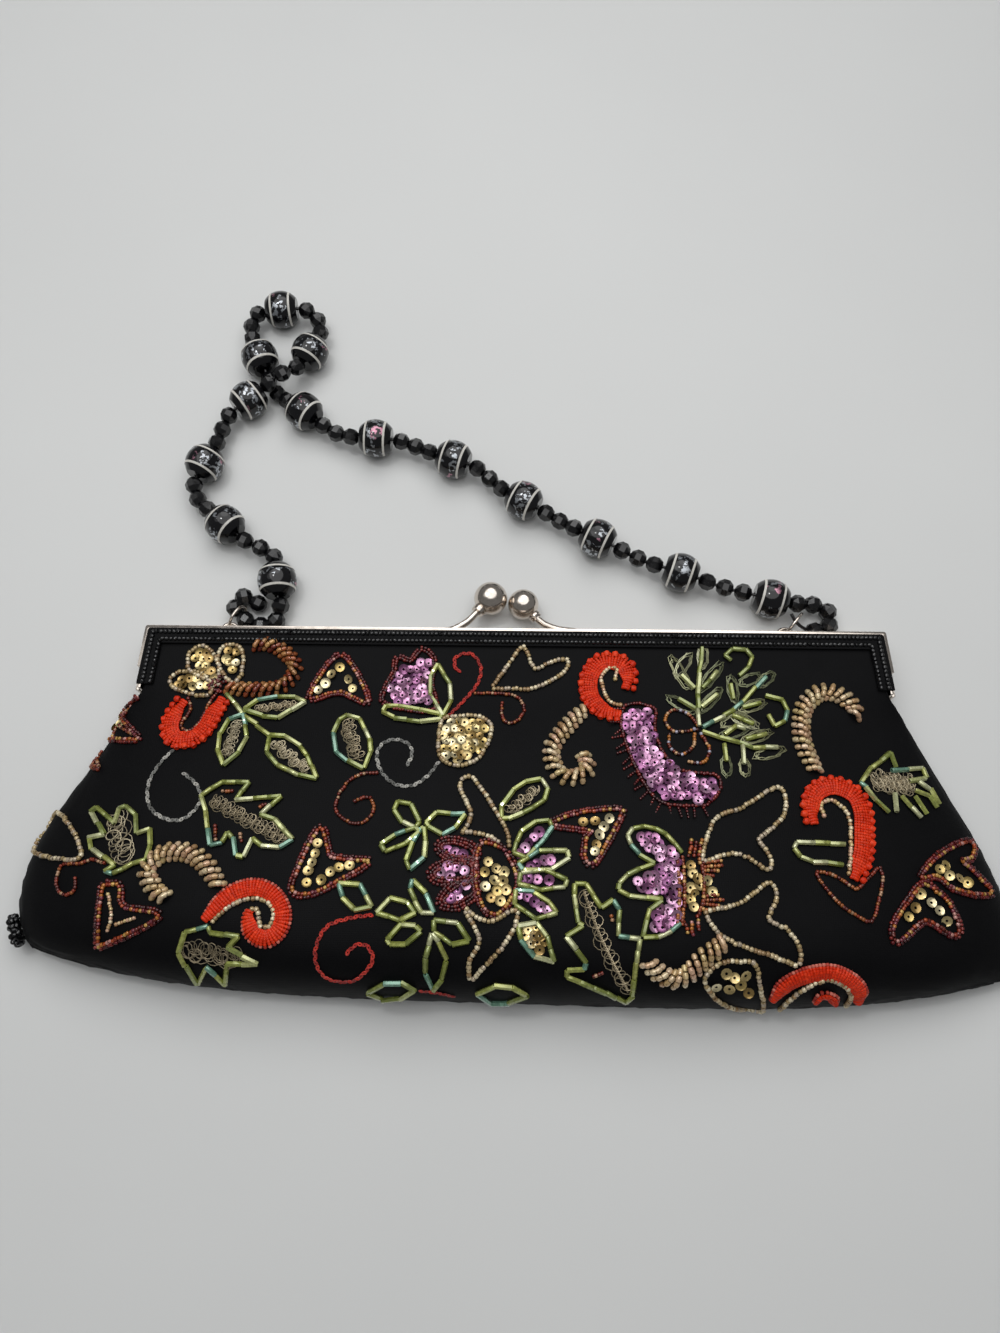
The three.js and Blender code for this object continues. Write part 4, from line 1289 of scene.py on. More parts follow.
CUP_COLUMNS = (
    ((677, 857), (679, 880), (679, 905), (677, 924)),
    ((682, 856), (684, 880), (684, 905), (681, 926)),
    ((699, 858), (703, 875), (703, 900), (698, 916)),
)
BRONZE_LOOPS = (
    ((698, 730), (674, 732), (665, 721), (672, 711), (687, 714), (698, 727)),
    ((669, 734), (669, 747), (680, 755), (693, 747), (694, 734)),
    ((700, 734), (709, 750), (703, 763), (687, 762)),
)
BROWN_SCROLLS = (
    ((378, 773), (358, 776), (343, 789), (336, 805), (340, 816), (353, 824), (366, 821), (374, 810),
     (370, 799), (361, 799), (354, 802)),
    ((106, 864), (93, 860), (80, 864), (64, 865), (58, 877), (59, 890), (67, 895), (76, 889), (76, 877)),
    ((474, 694), (495, 694), (508, 695), (519, 699), (524, 710), (519, 720), (508, 724), (502, 716),
     (502, 703)),
    ((189, 698), (191, 711), (182, 724), (186, 731), (196, 728), (204, 716), (210, 703), (218, 693)),
    ((94, 746), (88, 764), (100, 770), (96, 756)),
    ((136, 701), (124, 705), (116, 714), (120, 726), (133, 735)),
    ((132, 699), (128, 710), (124, 718), (112, 728), (103, 730)),
    ((99, 748), (93, 757), (91, 766), (99, 767)),
)
CUP_RAYS = (
    ((702, 863), (722, 861)),
    ((703, 867), (723, 866)),
    ((703, 871), (719, 871)),
    ((703, 875), (714, 876)),
    ((702, 896), (719, 895)),
    ((703, 900), (724, 900)),
    ((702, 904), (720, 906)),
    ((701, 909), (712, 911)),
)
CUP_SPIKES = (
    ((688, 858), (690, 848), (691, 839)),
    ((693, 857), (695, 849), (696, 842)),
    ((699, 857), (700, 848), (702, 839)),
    ((683, 920), (686, 927), (688, 934)),
    ((691, 921), (692, 929), (693, 936)),
    ((697, 915), (698, 923), (699, 931)),
)
TULIP_EDGE = (
    (384, 702), (388, 686), (395, 674), (398, 659), (411, 662), (422, 651), (433, 661), (430, 684),
    (434, 709), (410, 709),
)
CRESCENT_OUTER = ((624, 706), (621, 724), (628, 750), (638, 773), (651, 794), (669, 805), (706, 806))
CRESCENT_INNER = ((706, 806), (719, 792), (716, 776), (682, 771), (664, 755), (655, 732), (656, 711))
CRESCENT_TOP = ((624, 706), (638, 704), (654, 709), (656, 714))
FLOWER_LOBES = (
    ((476, 850), (458, 841), (442, 842), (439, 850), (452, 859), (473, 861)),
    ((473, 862), (452, 861), (432, 871), (437, 881), (458, 881), (473, 879)),
    ((473, 880), (455, 884), (442, 897), (442, 905), (458, 906), (476, 894)),
)
LIME_PETALS = (
    ((513, 853), (521, 832), (536, 822), (549, 821), (552, 827), (544, 840), (526, 858)),
    ((518, 864), (539, 851), (567, 851), (569, 858), (552, 870), (523, 870)),
    ((518, 884), (521, 873), (544, 870), (567, 880), (565, 887), (541, 890)),
    ((515, 890), (534, 892), (549, 903), (557, 913), (536, 919), (515, 905)),
)
PINK_PETALS = (
    ((682, 853), (674, 844), (666, 835), (655, 829), (643, 827), (633, 829), (627, 836), (631, 845),
     (639, 855), (654, 864)),
    ((654, 864), (640, 869), (627, 875), (619, 884), (618, 890), (629, 896), (646, 898), (662, 899)),
    ((662, 901), (650, 909), (646, 920), (643, 937), (658, 937), (671, 931), (680, 923)),
)
PINK_FLOWER_FILL = (
    (638, 831), (656, 832), (668, 841), (681, 855), (682, 925), (669, 931), (649, 934), (650, 922),
    (652, 910), (664, 903), (664, 896), (640, 894), (622, 888), (630, 876), (656, 867), (656, 861),
    (642, 850), (632, 839),
)
CENTRE_SEQUINS = (
    (488, 862), (485, 872), (496, 869), (504, 872), (494, 881), (503, 881), (485, 887), (497, 891),
    (506, 890), (491, 898), (500, 901),
)
PETAL_SEQUINS = (
    (520, 854), (525, 848), (529, 843), (534, 838), (539, 832), (531, 867), (537, 864), (544, 861),
    (550, 860), (523, 879), (529, 879), (537, 880), (549, 880), (519, 895), (527, 897), (534, 902),
    (541, 907), (547, 911), (447, 850), (455, 853), (463, 855), (441, 873), (448, 867), (457, 868),
    (465, 871), (450, 876), (451, 899), (458, 890), (466, 885), (458, 898),
)
CUP_SEQUINS = (
    (690, 866), (692, 874), (690, 888), (694, 894), (693, 907), (699, 886), (705, 890), (712, 892),
    (707, 881), (690, 900), (697, 879),
)
SEPALS = (
    ((438, 665), (450, 685), (451, 701), (443, 717), (430, 695), (431, 676)),
    ((386, 707), (399, 707), (420, 711), (441, 715), (441, 720), (420, 723), (394, 719), (383, 712)),
)
COILED_LEAVES = (
    ((245, 710), (258, 701), (278, 697), (296, 698), (306, 703), (292, 711), (278, 719), (263, 717)),
    ((244, 715), (230, 720), (221, 734), (218, 750), (224, 766), (240, 753), (247, 737)),
    ((270, 736), (286, 737), (301, 747), (312, 766), (317, 779), (299, 776), (278, 766), (267, 753)),
    ((348, 716), (360, 720), (370, 740), (371, 753), (364, 769), (348, 762), (336, 753), (334, 734),
     (339, 721)),
    ((502, 819), (501, 808), (513, 791), (526, 782), (541, 780), (548, 789), (544, 801), (523, 814),
     (508, 819)),
    ((106, 872), (116, 865), (93, 850), (90, 838), (106, 835), (92, 813), (98, 808), (116, 824),
     (120, 809), (127, 807), (136, 815), (138, 834), (151, 829), (151, 846), (147, 860), (134, 864),
     (114, 874)),
    ((209, 926), (186, 932), (179, 952), (186, 965), (199, 982), (207, 965), (225, 982), (228, 962),
     (258, 963), (228, 946), (240, 936), (211, 933)),
)
GILT_LEAF = ((518, 926), (536, 923), (547, 936), (554, 961), (534, 956), (521, 939))
PLAIN_LEAVES = (
    ((202, 796), (223, 783), (250, 783), (236, 801), (254, 799), (282, 797), (261, 815), (275, 820),
     (293, 840), (280, 848), (262, 846), (253, 839), (244, 857), (237, 856), (233, 838), (228, 833),
     (223, 843), (211, 846), (206, 812)),
    ((420, 822), (411, 805), (398, 802), (394, 811), (403, 823), (416, 828)),
    ((426, 823), (437, 813), (465, 815), (455, 829), (442, 835), (429, 827)),
    ((416, 828), (395, 835), (381, 845), (385, 852), (406, 844), (419, 832)),
    ((421, 829), (413, 842), (406, 861), (410, 870), (424, 858), (426, 842), (424, 828)),
    ((421, 913), (410, 889), (413, 880), (426, 894), (434, 913)),
    ((377, 913), (390, 898), (406, 902), (416, 913), (400, 920)),
    ((416, 926), (402, 924), (387, 939), (390, 944), (406, 944), (421, 931)),
    ((434, 920), (458, 923), (469, 941), (452, 944), (434, 931)),
    ((432, 933), (426, 957), (425, 972), (433, 988), (442, 978), (446, 959), (439, 941)),
    ((339, 884), (360, 884), (372, 907), (354, 910), (343, 897)),
    ((575, 884), (586, 884), (601, 908), (613, 900), (619, 910), (618, 936), (640, 939), (636, 962),
     (632, 994), (627, 1000), (606, 991), (567, 975), (567, 969), (584, 968), (586, 962), (566, 936),
     (583, 926), (578, 923), (574, 895)),
    ((368, 990), (384, 982), (401, 981), (415, 988), (400, 997), (382, 997)),
    ((477, 992), (494, 984), (512, 985), (526, 993), (510, 1001), (492, 1001)),
)
LEAF_ACCENTS = (
    ((222, 792), (228, 792), (234, 791)),
    ((216, 825), (216, 833), (216, 841)),
    ((259, 808), (263, 806), (267, 804)),
    ((240, 833), (241, 838), (242, 843)),
    ((611, 914), (612, 918), (612, 922)),
    ((592, 976), (598, 974), (603, 972)),
)
LEAF_RIBS = (
    ((213, 800), (248, 820), (285, 839)),
    ((871, 780), (892, 783), (913, 786)),
    ((874, 786), (895, 788), (909, 790)),
    ((878, 777), (896, 779), (912, 781)),
)
LOOPED_RIB = ((584, 892), (593, 918), (606, 949), (628, 990))
LIME_STEMS = (
    ((227, 694), (244, 715), (270, 737)),
    ((844, 845), (814, 843), (796, 843), (793, 849), (800, 857), (812, 862), (842, 865)),
)
RIGHT_LEAF = (
    ((859, 783), (871, 769), (889, 754), (895, 768)),
    ((890, 772), (907, 770), (921, 769), (925, 779)),
    ((908, 782), (924, 779)),
    ((917, 783), (928, 790), (938, 805)),
    ((914, 791), (927, 797), (936, 808)),
    ((864, 788), (875, 801), (888, 813)),
    ((894, 794), (895, 813)),
    ((900, 797), (910, 808), (920, 818)),
    ((914, 797), (925, 815)),
    ((859, 783), (866, 789)),
)
FERN = (
    ((698, 727), (698, 710), (698, 695), (699, 674), (702, 648)),
    ((694, 689), (681, 676)),
    ((695, 710), (678, 700)),
    ((702, 689), (717, 672)),
    ((702, 708), (716, 695)),
    ((702, 728), (724, 717), (742, 703), (755, 688), (766, 678)),
    ((733, 700), (730, 685)),
    ((742, 708), (760, 704)),
    ((732, 716), (753, 725)),
    ((739, 677), (748, 667), (752, 658), (745, 650), (732, 650), (724, 656), (731, 661)),
    ((765, 696), (782, 701), (787, 712), (784, 722), (774, 727), (768, 716)),
    ((702, 732), (719, 739), (739, 743), (752, 749), (777, 748)),
    ((724, 745), (726, 762)),
    ((742, 746), (744, 765)),
    ((724, 735), (736, 727), (745, 730)),
    ((745, 740), (766, 735)),
)
FERN_WIRES = (
    ((688, 688), (671, 658)),
    ((676, 676), (690, 655)),
    ((694, 712), (668, 698)),
    ((701, 690), (721, 664)),
    ((700, 712), (720, 690)),
    ((702, 668), (703, 646)),
    ((735, 702), (730, 677)),
    ((740, 710), (764, 703)),
    ((730, 714), (757, 727)),
    ((740, 684), (760, 676)),
    ((758, 686), (773, 674)),
    ((725, 757), (727, 776)),
    ((743, 760), (746, 776)),
    ((721, 737), (748, 728)),
    ((742, 742), (770, 733)),
    ((755, 757), (783, 750)),
    ((722, 726), (745, 716)),
)
RED_BANDS_COARSE = (
    ((186, 701), (179, 710), (172, 721), (171, 732), (176, 740), (187, 740), (196, 738), (207, 727),
     (215, 712), (223, 698)),
    ((625, 690), (628, 679), (625, 667), (613, 662), (600, 663), (591, 673), (588, 686), (591, 699),
     (602, 711), (621, 715)),
    ((814, 825), (810, 808), (814, 794), (826, 787), (840, 788), (855, 797), (862, 813), (863, 832),
     (862, 856), (853, 880)),
)
RED_BANDS_FINE = (
    ((204, 920), (216, 908), (233, 893), (254, 887), (272, 893), (283, 910), (281, 928), (268, 939),
     (254, 934), (248, 920), (250, 910)),
    ((772, 999), (786, 983), (807, 974), (828, 971), (846, 977), (858, 988), (858, 1001)),
    ((814, 1001), (822, 994), (832, 996), (835, 1003)),
)
BRONZE_ROPE = (
    (227, 688), (254, 690), (278, 688), (290, 680), (295, 667), (286, 654), (270, 645), (254, 646),
)
GOLD_ROPES = (
    ((586, 710), (577, 717), (568, 726), (559, 737), (552, 749), (553, 763), (560, 775), (573, 778),
     (585, 773), (587, 763), (581, 754)),
    ((853, 719), (854, 710), (845, 700), (834, 694), (822, 693), (811, 699), (804, 708), (801, 720),
     (801, 735), (804, 748), (809, 760), (816, 774)),
    ((169, 899), (158, 893), (152, 884), (148, 875), (149, 867), (155, 860), (164, 854), (175, 852),
     (187, 853), (197, 857), (206, 865), (212, 874), (217, 882), (220, 888)),
    ((724, 940), (716, 949), (706, 956), (697, 964), (688, 973), (677, 978), (665, 976), (654, 968),
     (646, 960)),
)
SILVER_CHAINS = (
    ((174, 750), (161, 763), (150, 781), (148, 799), (154, 812), (169, 820), (184, 819), (197, 808),
     (201, 797), (196, 784), (183, 773)),
    ((439, 762), (428, 776), (412, 786), (394, 784), (381, 771), (377, 755), (383, 744), (396, 740),
     (409, 745), (412, 755), (407, 766)),
)
RED_CHAINS = (
    ((448, 717), (464, 701), (477, 685), (481, 669), (474, 656), (464, 654), (455, 659), (456, 669),
     (461, 672)),
    ((373, 915), (351, 918), (328, 926), (317, 944), (316, 962), (325, 976), (341, 981), (356, 979),
     (369, 967), (373, 957), (367, 946), (356, 945), (346, 954)),
    ((419, 990), (437, 992), (455, 996)),
)
FLOWER_EYE = (218, 685)


# Embroidery: how a chart line is laid on the cloth

LINE_STEPS = 6
# Sizes of the seed beads in outlines, and the distance between two rows side by side
TAN_BEAD = 1.45 * MM
GOLD_LINE_BEAD = 1.3 * MM
BRONZE_BEAD = 1.2 * MM
FINE_BEAD = 1.1 * MM
SECOND_ROW = 0.85 * MM
# How seed beads lie in a line, as shares of their size: height, distance, shake, lean and spread of sizes
BEAD_LIFT = 0.42
LINE_PITCH_SHARE = 0.74
LINE_SHAKE = 0.06
LINE_LEAN = 0.12
LINE_BEAD_SPREAD = (0.9, 1.08)
# How seed beads lie in rows across a band, and how far the rows at its ends are drawn in
ROW_LEAN = 0.08
ROW_BEAD_SPREAD = (0.92, 1.06)
ROW_LEAST_SHARE = 0.35
# How the larger beads lie along the edge of a band
SCALLOP_PITCH_SHARE = 0.95
SCALLOP_LIFT = 0.378
SCALLOP_LEAN = 0.35
SCALLOP_SPREAD = (0.92, 1.05)
SCALLOP_SHAPE = (1, 1, 0.9)
# How bugles lie between chart points
BUGLE_LENGTH_SHARE = 0.95
BUGLE_LEAN = 0.05
BUGLE_SPREAD = (0.9, 1.08)
# Coiled wire: loops as shares of their reach, slow waves as height and length, and rise in wire radii
COIL_ADVANCE = 0.9
COIL_SHORTNESS = 0.85
COIL_SWELLS = ((0.3, 3.7), (0.25, 1.9))
COIL_DRIFT = 5.3
COIL_LIFT = 3
COIL_BOUNCE = 2
COIL_STOPS = (-0.62, -0.2, 0.2, 0.62)
WIRE_STEPS = 11
WIRE_SIDES = 5
# Wire round the fern's leaves: its waves as height and rate, and its rise and radius in wire radii
FERN_TURNS = 4
FERN_LOOP_STEPS = 16
FERN_LEAF_REACH = 1.36 * MM
FERN_SWELL = (0.2, 1.3)
FERN_RIPPLE = (0.1, 7)
FERN_STARTS = (0, 6)
FERN_LIFT = 2.4
FERN_BOUNCE_RATE = 0.7
FERN_THICKNESS = 1.2
# How sequins are packed and how they lie on the cloth
SEQUIN_PITCH = 2.0128 * MM
SEQUIN_MARGIN = 0.8704 * MM
SEQUIN_ROW_SHARE = 0.87
SEQUIN_SHAKE = 0.1
SEQUIN_TILT = 0.3
SEQUIN_FACING = 0.4
SEQUIN_LIFTS = (0.12, 0.26)
SEQUIN_SPREAD = (0.9, 1.06)


def pixel_size():
    """Size of one pixel of the photograph on the bag front."""
    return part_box("bag_front")[1].x / (PHOTO_WIDTH / 2)


def camera_axes():
    """The camera's right, up and forward directions."""
    cosine = math.cos(CAMERA_ELEVATION)
    sine = math.sin(CAMERA_ELEVATION)
    right = np.array([1.0, 0, 0])
    up = np.array([0, sine, cosine])
    forward = np.array([0, cosine, -sine])
    turn = math.cos(CAMERA_ROLL)
    lean = math.sin(CAMERA_ROLL)
    return right * turn + up * lean, up * turn - right * lean, forward


def on_cloth(pixels):
    """Places and outward normals on the bag front under pixels of the photograph."""
    bag = bpy.data.objects[BAG_FRONT]
    right, up, forward = camera_axes()
    camera = np.array(CAMERA_PLACE)
    seam_height = SEAM_HEIGHT_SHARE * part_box("bag_front")[1].z
    places = []
    normals = []
    for x, y in pixels:
        aside = right * (x - PHOTO_WIDTH / 2) + up * (PHOTO_HEIGHT / 2 - y)
        ray = forward + aside / FOCAL_PIXELS
        hit, place, normal, _ = bag.ray_cast(camera, ray)
        if not hit:
            beside = camera + ray * (seam_height - camera[2]) / ray[2]
            hit, place, normal, _ = bag.closest_point_on_mesh(beside)
        places.append(place)
        normals.append(normal)
    return np.array(places), np.array(normals)


def smooth_line(points, closed):
    """Points every few pixels along a smooth line through chart points."""
    points = np.array(points, float)
    if closed:
        points = np.concatenate([points[-1:], points, points[:2]])
    else:
        points = np.concatenate([2 * points[:1] - points[1:2], points, 2 * points[-1:] - points[-2:-1]])
    share = np.linspace(0, 1, LINE_STEPS, endpoint=False)[:, None]
    parts = []
    for a, b, c, d in zip(points[:-3], points[1:-2], points[2:-1], points[3:]):
        bend = 2 * a - 5 * b + 4 * c - d
        swing = 3 * b - a - 3 * c + d
        parts.append(b + ((c - a) * share + bend * share ** 2 + swing * share ** 3) / 2)
    return np.concatenate([*parts, points[-2:-1]])


class Way:
    """A chart line laid on the bag front and measured along its length."""

    def __init__(self, points, closed=False):
        self.places, self.normals = on_cloth(smooth_line(points, closed))
        self.ahead = unit(np.gradient(self.places, axis=0))
        steps = np.linalg.norm(np.diff(self.places, axis=0), axis=1)
        self.marks = np.concatenate([[0], np.cumsum(steps)])
        self.span = self.marks[-1]

    def at(self, stops):
        """Places, directions and normals at distances along the line."""
        found = [np.column_stack([np.interp(stops, self.marks, values[:, axis]) for axis in range(3)])
                 for values in (self.places, self.ahead, self.normals)]
        return found[0], unit(found[1]), unit(found[2])

    def even_stops(self, pitch):
        """Distances for things spread evenly along the line, about a pitch apart."""
        count = max(2, round(self.span / pitch))
        return (np.arange(count) + 0.5) * self.span / count

    def outer_side(self):
        """Which side is the outside of the bend: 1 for left of the line and -1 for right."""
        turning = (np.cross(self.ahead[:-1], self.ahead[1:]) * self.normals[1:]).sum()
        return -np.sign(turning)


def sew_line(sewing, bead, way, size, tints, chance, aside):
    """A line of seed beads sewn along a way, or beside it on the outside of its bend."""
    places, ahead, up = way.at(way.even_stops(size * LINE_PITCH_SHARE))
    count = len(places)
    places = places + up * size * BEAD_LIFT + chance.normal(scale=LINE_SHAKE * size, size=(count, 3))
    places = places + np.cross(up, ahead) * way.outer_side() * aside
    ahead = unit(ahead + chance.normal(scale=LINE_LEAN, size=(count, 3)))
    sizes = size * chance.uniform(*LINE_BEAD_SPREAD, (count, 1)) * np.ones(3)
    sewing.place(bead, places, ahead, up, sizes, tints_of(tints, count, chance))


def sew_rows(sewing, bead, way, width, size, pitch, spacing, slant, arch, tints, chance, taper=1, stretch=1,
             edge=None):
    """Short rows of beads across a way, slanted and arched, with the ends of the band drawn in."""
    stops = way.even_stops(pitch)
    places, ahead, up = way.at(stops)
    across = np.cross(up, ahead)
    from_end = np.minimum(stops, way.span - stops) / width
    spans = (width - size) * np.clip(1 - taper * (1 - from_end), ROW_LEAST_SHARE, 1)[:, None]
    count = max(2, round((width - size) / (spacing * size)) + 1)
    base = tints_of(tints, len(places), chance)
    for share in np.linspace(-0.5, 0.5, count):
        offset = spans * share
        # The arch is a parabola that is highest in the middle of the band
        rise = size * BEAD_LIFT + arch * (1 - 4 * share ** 2)
        slope = -8 * arch * share / width
        beads = places + across * offset + ahead * offset * slant + up * rise
        shake = chance.normal(scale=ROW_LEAN, size=places.shape)
        direction = unit(across + ahead * slant + up * slope + shake)
        sizes = size * chance.uniform(*ROW_BEAD_SPREAD, (len(places), 1)) * np.array([stretch, 1, 1])
        # The outermost row can take tints of its own, whose paler reds paint the glints along the band's
        # edge.
        outermost = edge and share == 0.5 * way.outer_side()
        own = tints_of(edge if outermost else tints, len(places), chance)
        sewing.place(bead, beads, direction, up, sizes, own if outermost else (own + base) / 2)


def sew_scallops(sewing, bead, way, width, size, tints, chance):
    """A row of larger beads along the outer edge of a band."""
    places, ahead, up = way.at(way.even_stops(size * SCALLOP_PITCH_SHARE))
    count = len(places)
    out = np.cross(up, ahead) * way.outer_side()
    places = places + out * width / 2 + up * size * SCALLOP_LIFT
    sizes = size * chance.uniform(*SCALLOP_SPREAD, (count, 1)) * np.array(SCALLOP_SHAPE)
    direction = unit(out + SCALLOP_LEAN * ahead)
    sewing.place(bead, places, direction, up, sizes, tints_of(tints, count, chance))


def sew_bugles(sewing, bugle, points, closed, beadwork, chance):
    """Tubes sewn end to end along the straight edges between chart points."""
    corners = np.array(points + points[:1] if closed else points, float)
    stops = [corners[:1]]
    for a, b in zip(corners[:-1], corners[1:]):
        count = max(1, round(np.linalg.norm(b - a) * pixel_size() / beadwork.bugle))
        stops.append(a + (b - a) * np.arange(1, count + 1)[:, None] / count)
    places, up = on_cloth(np.concatenate(stops))
    up = up[:-1]
    along = np.diff(places, axis=0)
    lengths = np.linalg.norm(along, axis=1)
    count = len(along)
    middles = (places[:-1] + places[1:]) / 2 + up * beadwork.bugle_width / 2
    widths = beadwork.bugle_width * chance.uniform(*BUGLE_SPREAD, count)
    sizes = np.column_stack([lengths * BUGLE_LENGTH_SHARE, widths, widths])
    direction = unit(unit(along) + chance.normal(scale=BUGLE_LEAN, size=(count, 3)))
    sewing.place(bugle, middles, direction, up, sizes, tints_of(beadwork.lime, count, chance))


def coil_wire(sewing, points, reach, sway, beadwork, chance):
    """Loose loops of fine wire laid along a line, swaying from side to side."""
    way = Way(points)
    turns = max(3, round(way.span / (COIL_ADVANCE * reach)))
    angles = np.linspace(0, 2 * np.pi * turns, turns * WIRE_STEPS)
    places, ahead, up = way.at(way.span * angles / angles[-1])
    across = np.cross(up, ahead)
    *swell_starts, drift_start = chance.uniform(0, 2 * np.pi, 3)
    swell = np.full(len(angles), reach)
    for (height, wave), start in zip(COIL_SWELLS, swell_starts):
        swell += reach * height * np.sin(angles / wave + start)
    sideways = swell * np.sin(angles) + sway * np.sin(angles / COIL_DRIFT + drift_start)
    onward = COIL_SHORTNESS * swell * np.cos(angles)
    rise = beadwork.wire_radius * (COIL_LIFT + COIL_BOUNCE * np.cos(angles / 2))
    places = places + across * sideways[:, None] + ahead * onward[:, None] + up * rise[:, None]
    sewing.tube(places, beadwork.wire_radius, WIRE_SIDES, tints_of(beadwork.wire, 1, chance))


def loop_wire(sewing, ends, beadwork, chance):
    """A few long, uneven turns of wire round a narrow leaf."""
    start, end = np.array(ends, float)
    middle = (start + end) / 2
    half = (end - start) / 2
    side = np.array([-half[1], half[0]]) / np.linalg.norm(half) * FERN_LEAF_REACH / pixel_size()
    angles = np.linspace(0, 2 * np.pi * FERN_TURNS, FERN_TURNS * FERN_LOOP_STEPS)
    swell, swell_rate = FERN_SWELL
    ripple, ripple_rate = FERN_RIPPLE
    reach = 1 + swell * np.sin(angles * swell_rate + chance.uniform(*FERN_STARTS))
    reach += ripple * np.sin(angles * ripple_rate)
    spots = middle + (half * np.cos(angles)[:, None] + side * np.sin(angles)[:, None]) * reach[:, None]
    places, up = on_cloth(spots)
    rise = beadwork.wire_radius * (FERN_LIFT + np.cos(angles * FERN_BOUNCE_RATE))
    thick = beadwork.wire_radius * FERN_THICKNESS
    sewing.tube(places + up * rise[:, None], thick, WIRE_SIDES, tints_of(beadwork.fern_wire, 1, chance))


def long_axis(points):
    """A line along the middle of a leaf, and half of the leaf's narrow width, in pixels."""
    points = smooth_line(points, True)
    middle = points.mean(axis=0)
    _, _, directions = np.linalg.svd(points - middle, full_matrices=False)
    reach = np.abs((points - middle) @ directions[0]).max()
    narrow = np.abs((points - middle) @ directions[1]).mean()
    return middle + np.array(COIL_STOPS)[:, None] * reach * directions[0], narrow


def inside(outline, pixels):
    """Which pixels are inside an outline, and how far each is from its edge."""
    edge = np.array(outline, float)
    onward = np.roll(edge, -1, axis=0)
    crossings = np.zeros(len(pixels), int)
    gap = np.full(len(pixels), np.inf)
    for a, b in zip(edge, onward):
        rising = (a[1] > pixels[:, 1]) != (b[1] > pixels[:, 1])
        drop = b[1] - a[1] if b[1] != a[1] else 1
        crossings += rising & (pixels[:, 0] < a[0] + (pixels[:, 1] - a[1]) * (b[0] - a[0]) / drop)
        share = np.clip(((pixels - a) @ (b - a)) / max((b - a) @ (b - a), 1), 0, 1)
        gap = np.minimum(gap, np.linalg.norm(pixels - a - share[:, None] * (b - a), axis=1))
    return crossings % 2 == 1, gap


def sequin_spots(outline, chance):
    """Pixels for sequins packed inside an outline, clear of its edge by a margin."""
    pitch = SEQUIN_PITCH / pixel_size()
    margin = SEQUIN_MARGIN / pixel_size()
    points = np.array(outline, float)
    low = points.min(axis=0)
    high = points.max(axis=0)
    rows = []
    for row, y in enumerate(np.arange(low[1], high[1], pitch * SEQUIN_ROW_SHARE)):
        x = np.arange(low[0] + pitch * 0.5 * (row % 2), high[0], pitch)
        rows.append(np.column_stack([x, np.full(len(x), y)]))
    spots = np.concatenate(rows)
    spots += chance.normal(scale=SEQUIN_SHAKE * pitch, size=spots.shape)
    within, gap = inside(outline, spots)
    return spots[within & (gap > margin)]


def sew_sequins(sewing, cup, spots, size, tints, chance):
    """Sequins lying on the cloth at chart pixels, each tilted its own way."""
    places, up = on_cloth(spots)
    count = len(places)
    tilt = unit(up + np.array([0, 0, SEQUIN_FACING]) + chance.normal(scale=SEQUIN_TILT, size=(count, 3)))
    places = places + up * size * chance.uniform(*SEQUIN_LIFTS, (count, 1))
    along = unit(np.cross(tilt, chance.normal(size=(count, 3))))
    sizes = size * chance.uniform(*SEQUIN_SPREAD, (count, 1)) * np.ones(3)
    sewing.place(cup, places, along, tilt, sizes, tints_of(tints, count, chance))


# Outlines of seed beads

SPIKE_PITCH = 2.2 * MM
SPIKE_BEAD = 0.8 * MM
SPIKE_BEADS = 4
SPIKE_SPREAD = 0.2
SPIKE_LEAN = 0.3
FLOWER_EYE_REACH = 2.72 * MM
EYE_BEADS = 30
EYE_HEAP = 1.2
# Chart lines, if they are closed, and the bead size, tints and shift to the outside of each row along them
TAN_OUTLINES = (
    ((*GOLD_PETALS, SHIELD_BUD, PAISLEY_BASE, *TAN_LEAVES), True, ((TAN_BEAD, "tan", 0),)),
    (TAN_LINES, False, ((TAN_BEAD, "tan", 0),)),
    (GOLD_LINES, False, ((GOLD_LINE_BEAD, "gold", 0),)),
)
DARK_OUTLINES = (
    ((*ARROWHEADS, CENTRE_OVAL), True, ((BRONZE_BEAD, "bronze", 0), (FINE_BEAD, "burgundy", SECOND_ROW))),
    ((CALYX,), True, ((FINE_BEAD, "brown", 0),)),
    (CUP_COLUMNS, False, ((BRONZE_BEAD, "orange", 0),)),
    (BRONZE_LOOPS, False, ((FINE_BEAD, "mixed", 0),)),
    (BROWN_SCROLLS, False, ((FINE_BEAD, "brown", 0),)),
    (ARROWHEAD_LINES, False, ((FINE_BEAD, "gold", 0),)),
    (LEAF_ACCENTS, False, ((FINE_BEAD, "brown", 0),)),
    (CUP_RAYS, False, ((FINE_BEAD, "orange", 0),)),
    (CUP_SPIKES, False, ((FINE_BEAD, "bronze", 0),)),
    ((CRESCENT_OUTER, CRESCENT_INNER, CRESCENT_TOP), False, ((FINE_BEAD, "burgundy", 0),)),
    (FLOWER_LOBES, True, ((FINE_BEAD, "burgundy", -SECOND_ROW),)),
    ((TULIP_EDGE, *FLOWER_LOBES), True, ((FINE_BEAD, "burgundy", 0), (FINE_BEAD, "burgundy", SECOND_ROW))),
)


def sew_outlines(sewing, bead, outlines, beadwork, chance):
    """Rows of seed beads along the chart lines of a table of outlines."""
    for lines, closed, rows in outlines:
        for line in lines:
            way = Way(line, closed)
            for size, tints, aside in rows:
                sew_line(sewing, bead, way, size, getattr(beadwork, tints), chance, aside)


